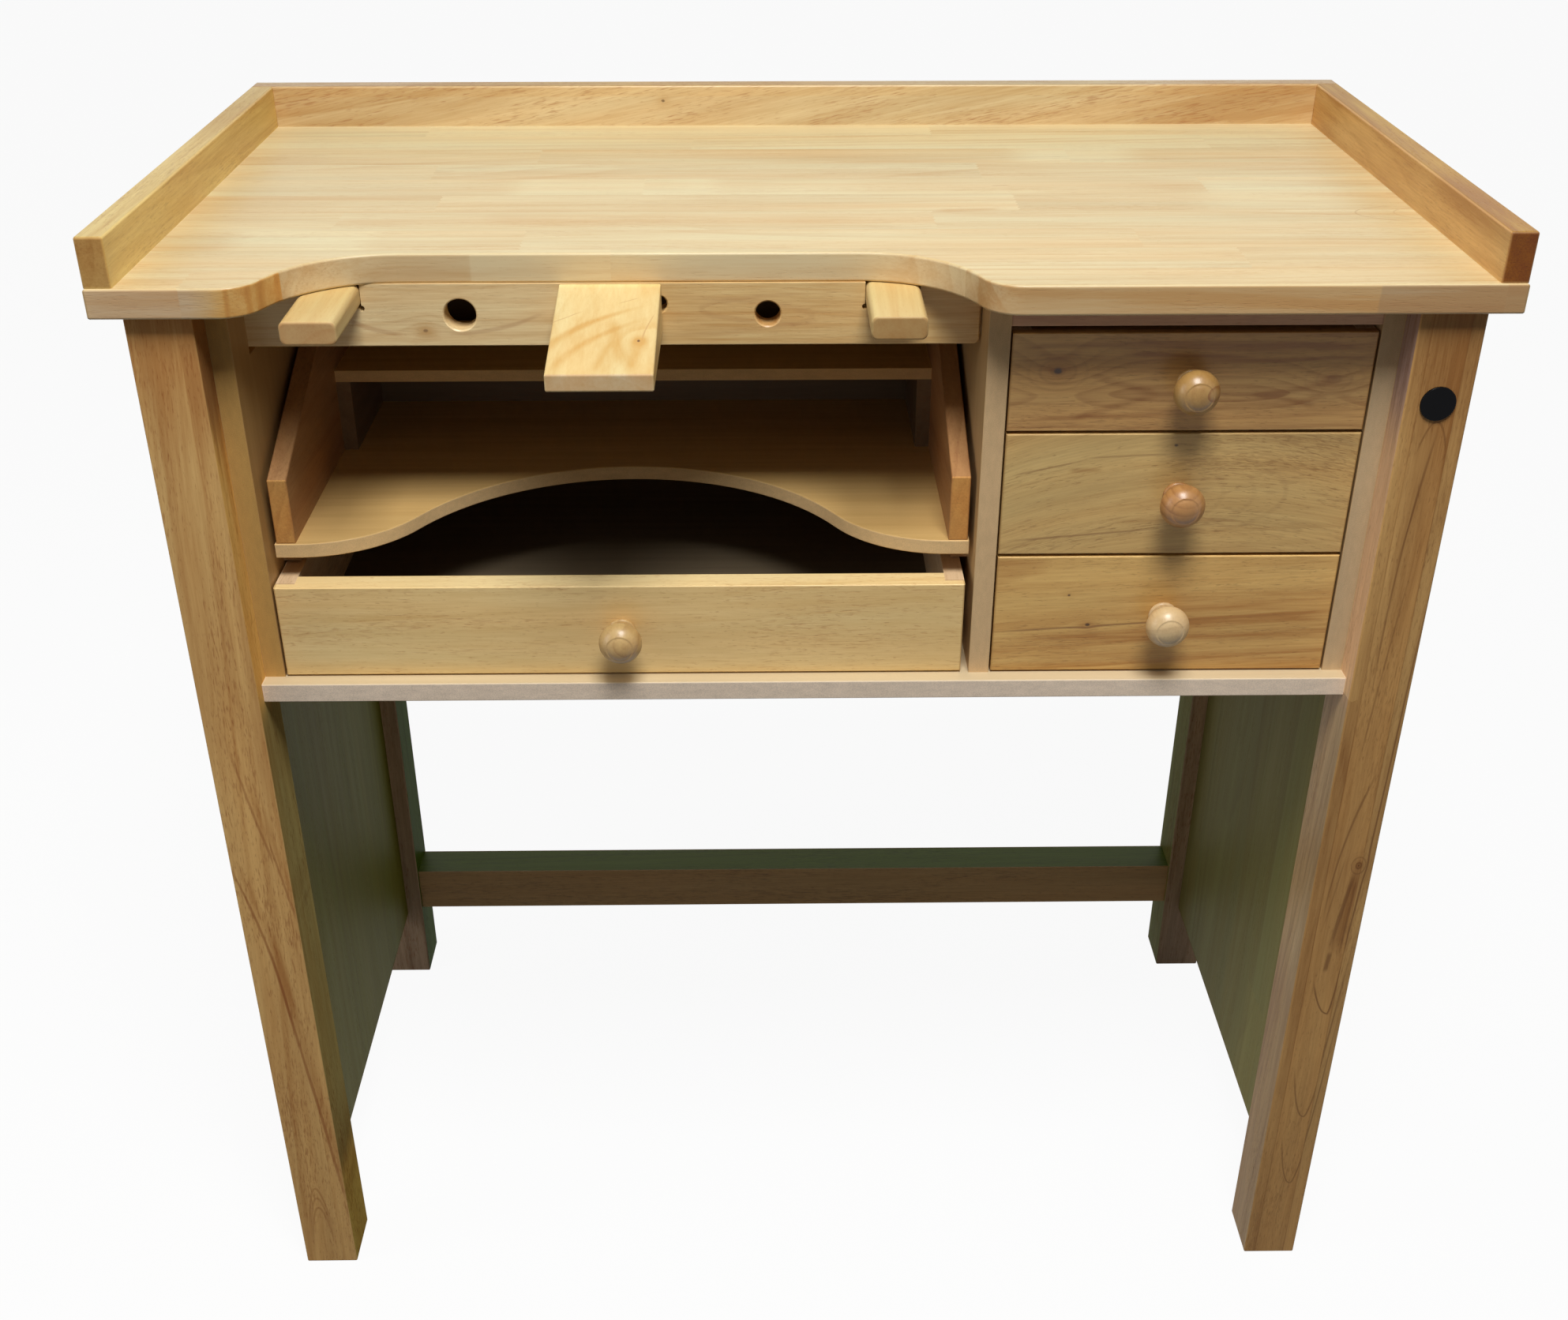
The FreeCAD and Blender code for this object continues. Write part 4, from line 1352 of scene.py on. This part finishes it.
@dataclass
class Knob:
    """A turned knob: a bead on the drawer, a neck and a ball with a fine ridge round its front."""

    name: str
    diameter: float = 0.034
    projection: float = 0.034
    head_depth: float = 0.026
    bead_diameter: float = 0.023
    bead_thickness: float = 0.0045
    neck_diameter: float = 0.014
    fillet: Span = (0.0012, 0.0007)
    ridge_share: float = 0.62
    ridge: tuple[Span, ...] = ((0.0008, -0.0004), (0.0003, 0.00012),
                               (-0.0003, 0.000048), (-0.0009, 0.00012))
    lead: float = 0.4
    steps: int = 48

    def ball(self, turns: Sequence[float]) -> list[Span]:
        """Points of the ball.

        Args:
            turns: angles forward of its widest ring.

        Returns:
            Radius and distance out of the drawer front of each.
        """
        half = self.head_depth / 2
        return [(self.diameter / 2 * math.cos(turn), self.projection - half + half * math.sin(turn))
                for turn in turns]

    def profile(self) -> list[Span]:
        """The turned outline.

        Returns:
            Radius and distance out of the drawer front, from the base to the tip.
        """
        bead, neck = self.bead_diameter / 2, self.neck_diameter / 2
        bulge = self.bead_thickness / 2
        outline = [(0.0, 0.0), (bead - bulge * 0.9, 0.0)]
        for turn in map(math.radians, (-60, -30, 0, 30, 60)):
            outline.append((bead - bulge + bulge * math.cos(turn), bulge + bulge * math.sin(turn)))
        outline += [(neck + self.fillet[0], self.bead_thickness),
                    (neck, self.bead_thickness + self.fillet[1])]
        rear = math.asin(self.neck_diameter / self.diameter) - math.pi / 2
        edge = math.acos(self.ridge_share)
        outline += self.ball([rear * (8 - part) / 8 for part in range(9)])
        outline += self.ball([edge * part / 4 for part in (1, 2, 3)])
        radius, out = self.ball([edge])[0]
        outline += [(radius + wider, out + further) for wider, further in self.ridge]
        outline += self.ball([edge + (math.pi / 2 - edge) * (part + self.lead) / 6
                              for part in range(1, 6)])
        return outline + [(0.0, self.projection)]

    def build(self, node_name: str, body: str) -> bpy.types.Object:
        """Turn the knob where its CAD node is.

        Args:
            node_name: the CAD node that it stands for.
            body: the body that it rides on.

        Returns:
            The knob.
        """
        low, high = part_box(node_name)
        base = Vector(((low.x + high.x) / 2, high.y, (low.z + high.z) / 2))
        mesh = bmesh.new()
        outline = [mesh.verts.new((radius, -out, 0.0)) for radius, out in self.profile()]
        edges = [mesh.edges.new(pair) for pair in zip(outline, outline[1:])]
        bmesh.ops.spin(mesh, geom=outline + edges, cent=(0, 0, 0), axis=(0, 1, 0),
                       angle=math.tau, steps=self.steps, use_merge=True, use_duplicate=False)
        bmesh.ops.remove_doubles(mesh, verts=mesh.verts, dist=1e-6)
        bmesh.ops.translate(mesh, verts=mesh.verts, vec=base)
        bmesh.ops.recalc_face_normals(mesh, faces=mesh.faces)
        piece = finished(self.name, mesh, smooth=True)
        subdivide(piece, 1)
        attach(piece, body)
        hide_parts(node_name)
        return piece


@dataclass
class Drawer:
    """A lapped drawer with its turned knob."""

    body: str
    seed: float
    face: Timber
    front: Cut
    knob: Timber
    knob_cut: Cut
    base: Board = PLY

    def dress(self) -> None:
        """Finish the box and turn the knob."""
        self.face.dress(node(self.body + "_front"), self.front)
        for side, step in (("left", 0.3), ("right", 0.6)):
            PALE.dress(node(f"{self.body}_{side}_side"), Cut(Lay.SIDE, self.seed + step))
        PALE.dress(node(self.body + "_back"), Cut(Lay.FRONT, self.seed + 0.9))
        self.base.dress(node(self.body + "_bottom"), Lay.TOP, self.seed)
        STEEL.dress(node(self.body + "_knob_screw"))
        knob = Knob(self.body + "_turned_knob").build(self.body + "_knob", self.body)
        self.knob.dress(knob, self.knob_cut)
        LOG.info("%s dressed, %s built", self.body, knob.name)


def drawers() -> list[Drawer]:
    """Set out the drawers.

    Returns:
        The small drawers from the top down, then the catch drawer.
    """
    top = Cut(Lay.FRONT, 61.0, pith=(-0.0085, -0.012), lean=(0.0, 0.0), wander=0.006, wave=0.004,
              # The patch darkens the top strip of the drawer front: painted shadow under the
              # worktop's overhang.
              shade=0.10, patches=(Patch((0.100, 0.450), (0.9225, 0.9400), 0.10),),
              knots=(Knot(0.1832, 0.8977, 0.0024, 0.022, 0.026, 1.0, 0.35, 0.003, 0.22, 0.0060),
                     Knot(0.3870, 0.8906, 0.0020, 0.015, 0.024, 0.10, 0.3, 0.003, 0.15, 0.0060)),
              streaks=(Streak((0.200, 0.430), 0.9190, 0.0060, -0.02, 0.55, soft=True),
                       Streak((0.225, 0.330), 0.9110, 0.0035, -0.03, 0.55, soft=True),
                       Streak((0.290, 0.425), 0.9050, 0.0035, 0.0, 0.50, soft=True),
                       Streak((0.148, 0.240), 0.9140, 0.0030, 0.05, 0.40, soft=True),
                       Streak((0.150, 0.300), 0.8600, 0.0040, 0.03, 0.40, soft=True),
                       Streak((0.225, 0.360), 0.8800, 0.0028, -0.01, 0.45, soft=True),
                       Streak((0.204, 0.262), 0.8960, 0.0042, -0.42, 0.34, 2.6, True),
                       Streak((0.190, 0.262), 0.8570, 0.0044, 0.42, 0.34, -1.8, True),
                       Streak((0.325, 0.395), 0.8780, 0.0042, 0.05, 0.34, 2.4, True),
                       Streak((0.325, 0.380), 0.8790, 0.0044, -0.05, 0.32, -3.0, True)))
    middle = Cut(Lay.FRONT, 67.0, pith=(0.05, 0.08), slant=-0.06, bow=1.1, shade=-0.05, wave=0.006,
                 knots=(Knot(0.2766, 0.8388, 0.0012, 0.005, 0.012, 0.9, 0.2, 0.002),),
                 streaks=(Streak((0.150, 0.272), 0.7590, 0.0012, 0.085, 0.50),
                          Streak((0.150, 0.210), 0.8120, 0.0012, 0.22, 0.35),
                          Streak((0.205, 0.278), 0.8268, 0.0012, 0.055, 0.35),
                          Streak((0.225, 0.330), 0.7750, 0.0030, 0.02, 0.30, soft=True),
                          Streak((0.195, 0.225), 0.8170, 0.0035, 0.0, 0.45, soft=True)),
                 flames=(Flame(0.366, 0.7990, 45.0, 0.024, -0.075, 0.14, 0.040, 0.0022),),
                 pitting=(Patch((0.285, 0.416), (0.818, 0.849), 0.30, fade=0.02),
                          Patch((0.270, 0.350), (0.775, 0.818), 0.12, fade=0.02)))
    bottom = Cut(Lay.FRONT, 71.0, pith=(0.06, 0.09), slant=-0.04, wave=0.006,
                 streaks=(Streak((0.140, 0.300), 0.6800, 0.0013, 0.065, 0.60),
                          Streak((0.260, 0.425), 0.6880, 0.0026, 0.068, 0.45, soft=True),
                          Streak((0.250, 0.430), 0.6860, 0.0080, 0.05, 0.45, soft=True),
                          Streak((0.148, 0.320), 0.6740, 0.0060, 0.05, 0.30, soft=True)),
                 patches=(Patch((0.130, 0.430), (0.640, 0.676), 0.12, fade=0.02),),
                 knots=(Knot(0.2232, 0.6860, 0.0015, 0.004, 0.010, 0.9, 0.25, 0.002),
                        Knot(0.2065, 0.7124, 0.0009, 0.003, 0.008, 0.8, 0.2, 0.001)))
    catch = Cut(Lay.FRONT, 73.0, pith=(0.09, 0.09))
    return [
        Drawer("top_drawer", 61.0, BROWN_FRONT, top, KNOB,
               Cut(Lay.ARM, 62.0, pith=(0.012, 0.004), lean=(0.1, 0.1), wander=0.004, shade=0.25)),
        Drawer("middle_drawer", 67.0, FRONT, middle, RED_KNOB, Cut(Lay.ARM, 68.0, pith=(0.0, 0.03))),
        Drawer("bottom_drawer", 71.0, AMBER_FRONT, bottom, PALE_KNOB,
               Cut(Lay.ARM, 72.0, pith=(0.0, -0.03), shade=-0.30)),
        Drawer("catch_drawer", 73.0, CATCH, catch, CATCH_KNOB,
               Cut(Lay.ARM, 74.0, pith=(0.004, 0.006), wander=0.004, shade=-0.05), PAINTED_SHADE_PLY),
    ]


@dataclass
class ToolTray:
    """The pull-out tray with its scalloped floor and raised shelf."""

    def dress(self) -> None:
        """Finish the tray."""
        TRAY.dress(node("tray_base"), Lay.TOP, 6.0)
        TRAY.dress(node("tray_shelf"), Lay.TOP, 7.0)
        # The supports and back take the darker painted-shade wood.
        for name, seed, timber in (("tray_left_wall", 79.0, ROSE), ("tray_right_wall", 83.0, ROSE),
                                   ("tray_left_support", 85.0, PAINTED_SHADE_TRAY),
                                   ("tray_right_support", 87.0, PAINTED_SHADE_TRAY)):
            timber.dress(node(name), Cut(Lay.SIDE, seed))
        PAINTED_SHADE_TRAY.dress(node("tray_back"), Cut(Lay.FRONT, 89.0))
        LOG.info("tool tray dressed")


# ---------------------------------------------------------------- studio
@dataclass(frozen=True)
class Lamp:
    """A rectangular soft light."""

    name: str
    place: Triple
    aim: Triple
    size: Span
    power: float

    def light(self) -> None:
        """Hang the lamp."""
        data = bpy.data.lights.new(self.name, "AREA")
        data.shape = "RECTANGLE"
        data.size, data.size_y = self.size
        data.energy = self.power
        lamp = bpy.data.objects.new(self.name, data)
        lamp.location = self.place
        way = Vector(self.aim) - Vector(self.place)
        lamp.rotation_euler = way.to_track_quat("-Z", "Y").to_euler()
        bpy.context.scene.collection.objects.link(lamp)


@dataclass
class Studio:
    """A pale floor, soft lamps and the camera."""

    floor_size: float = 60.0
    sky: float = 0.09
    lamps: tuple[Lamp, ...] = (
        Lamp("ceiling_light", (0.12, -1.20, 3.05), (0.05, 0.0, 0.85), (0.95, 0.85), 66.0),
        Lamp("left_light", (-2.6, -0.9, 1.6), (0.0, 0.0, 0.5), (0.8, 1.8), 14.0))
    hidden_tones: tuple[Colour, Colour] = (Colour(110, 108, 105), Colour(104, 102, 99))
    shown_tones: tuple[Colour, Colour] = (Colour(244, 244, 243), Colour(240, 240, 239))
    matt: float = 0.9
    glow: float = 0.94
    camera_place: Triple = (-0.032462, -1.394949, 1.347987)
    camera_turn: Triple = (60.073, 0.0, -0.731)
    camera_reach: Span = (0.01, 200.0)
    lens: float = 39.873
    sensor: float = 36.0

    def build(self) -> None:
        """Lay the floor, hang the lamps and set up the camera."""
        mesh = bmesh.new()
        bmesh.ops.create_grid(mesh, x_segments=1, y_segments=1, size=self.floor_size / 2)
        floor = finished("studio_floor", mesh)
        clothe(floor, self.floor_finish())
        self.world()
        for lamp in self.lamps:
            lamp.light()
        scene = bpy.context.scene
        data = bpy.data.cameras.new("camera")
        data.lens, data.sensor_width, data.sensor_fit = self.lens, self.sensor, "HORIZONTAL"
        data.clip_start, data.clip_end = self.camera_reach
        camera = bpy.data.objects.new("camera", data)
        camera.location = self.camera_place
        camera.rotation_euler = [math.radians(angle) for angle in self.camera_turn]
        scene.collection.objects.link(camera)
        scene.camera = camera
        scene.view_settings.view_transform = "Standard"
        LOG.info("studio ready")

    @staticmethod
    def seen(graph: Graph) -> Wire:
        """1 for rays that show the background: straight, mirrored or let through."""
        path = graph.node("ShaderNodeLightPath", output="Is Camera Ray")
        return path.most(path.output("Is Glossy Ray")).most(path.output("Is Transmission Ray"))

    def floor_finish(self) -> bpy.types.Material:
        """Pale floor that keeps a soft shadow and looks near white.

        Returns:
            The floor's material.
        """
        graph = Graph(bpy.data.materials.new("pale_floor"))
        tone = graph.noise(graph.vector(*graph.point()), Weave.FLOOR_TONE) + 0.5
        hidden, shown = (graph.node("ShaderNodeBsdfPrincipled", None, {
            "Base Color": graph.mix(*tones, tone), "Roughness": self.matt})
            for tones in (self.hidden_tones, self.shown_tones))
        glow = graph.node("ShaderNodeEmission", None, {"Color": WHITE.linear})
        bright = graph.node("ShaderNodeMixShader", None, {0: self.glow, 1: shown, 2: glow})
        return graph.finish(graph.node("ShaderNodeMixShader", None,
                                       {0: self.seen(graph), 1: hidden, 2: bright}))

    def world(self) -> None:
        """Even grey light, white where it is seen."""
        graph = Graph(bpy.data.worlds.new("studio_world"))
        grey, white = (graph.node("ShaderNodeBackground", None, {
            "Color": WHITE.linear, "Strength": strength}) for strength in (self.sky, 1.0))
        both = graph.node("ShaderNodeMixShader", None, {0: self.seen(graph), 1: grey, 2: white})
        bpy.context.scene.world = graph.finish(both, "ShaderNodeOutputWorld")


def main() -> None:
    """Build and dress the bench, then the studio."""
    logging.basicConfig(level=logging.INFO, format="%(name)s: %(message)s")
    for part in (Worktop(), StandFrame(), Case(), WorkFront(), *drawers(), ToolTray()):
        part.dress()
    BLACK.dress(node("badge"))
    Studio().build()


if __name__ == "__main__":
    main()
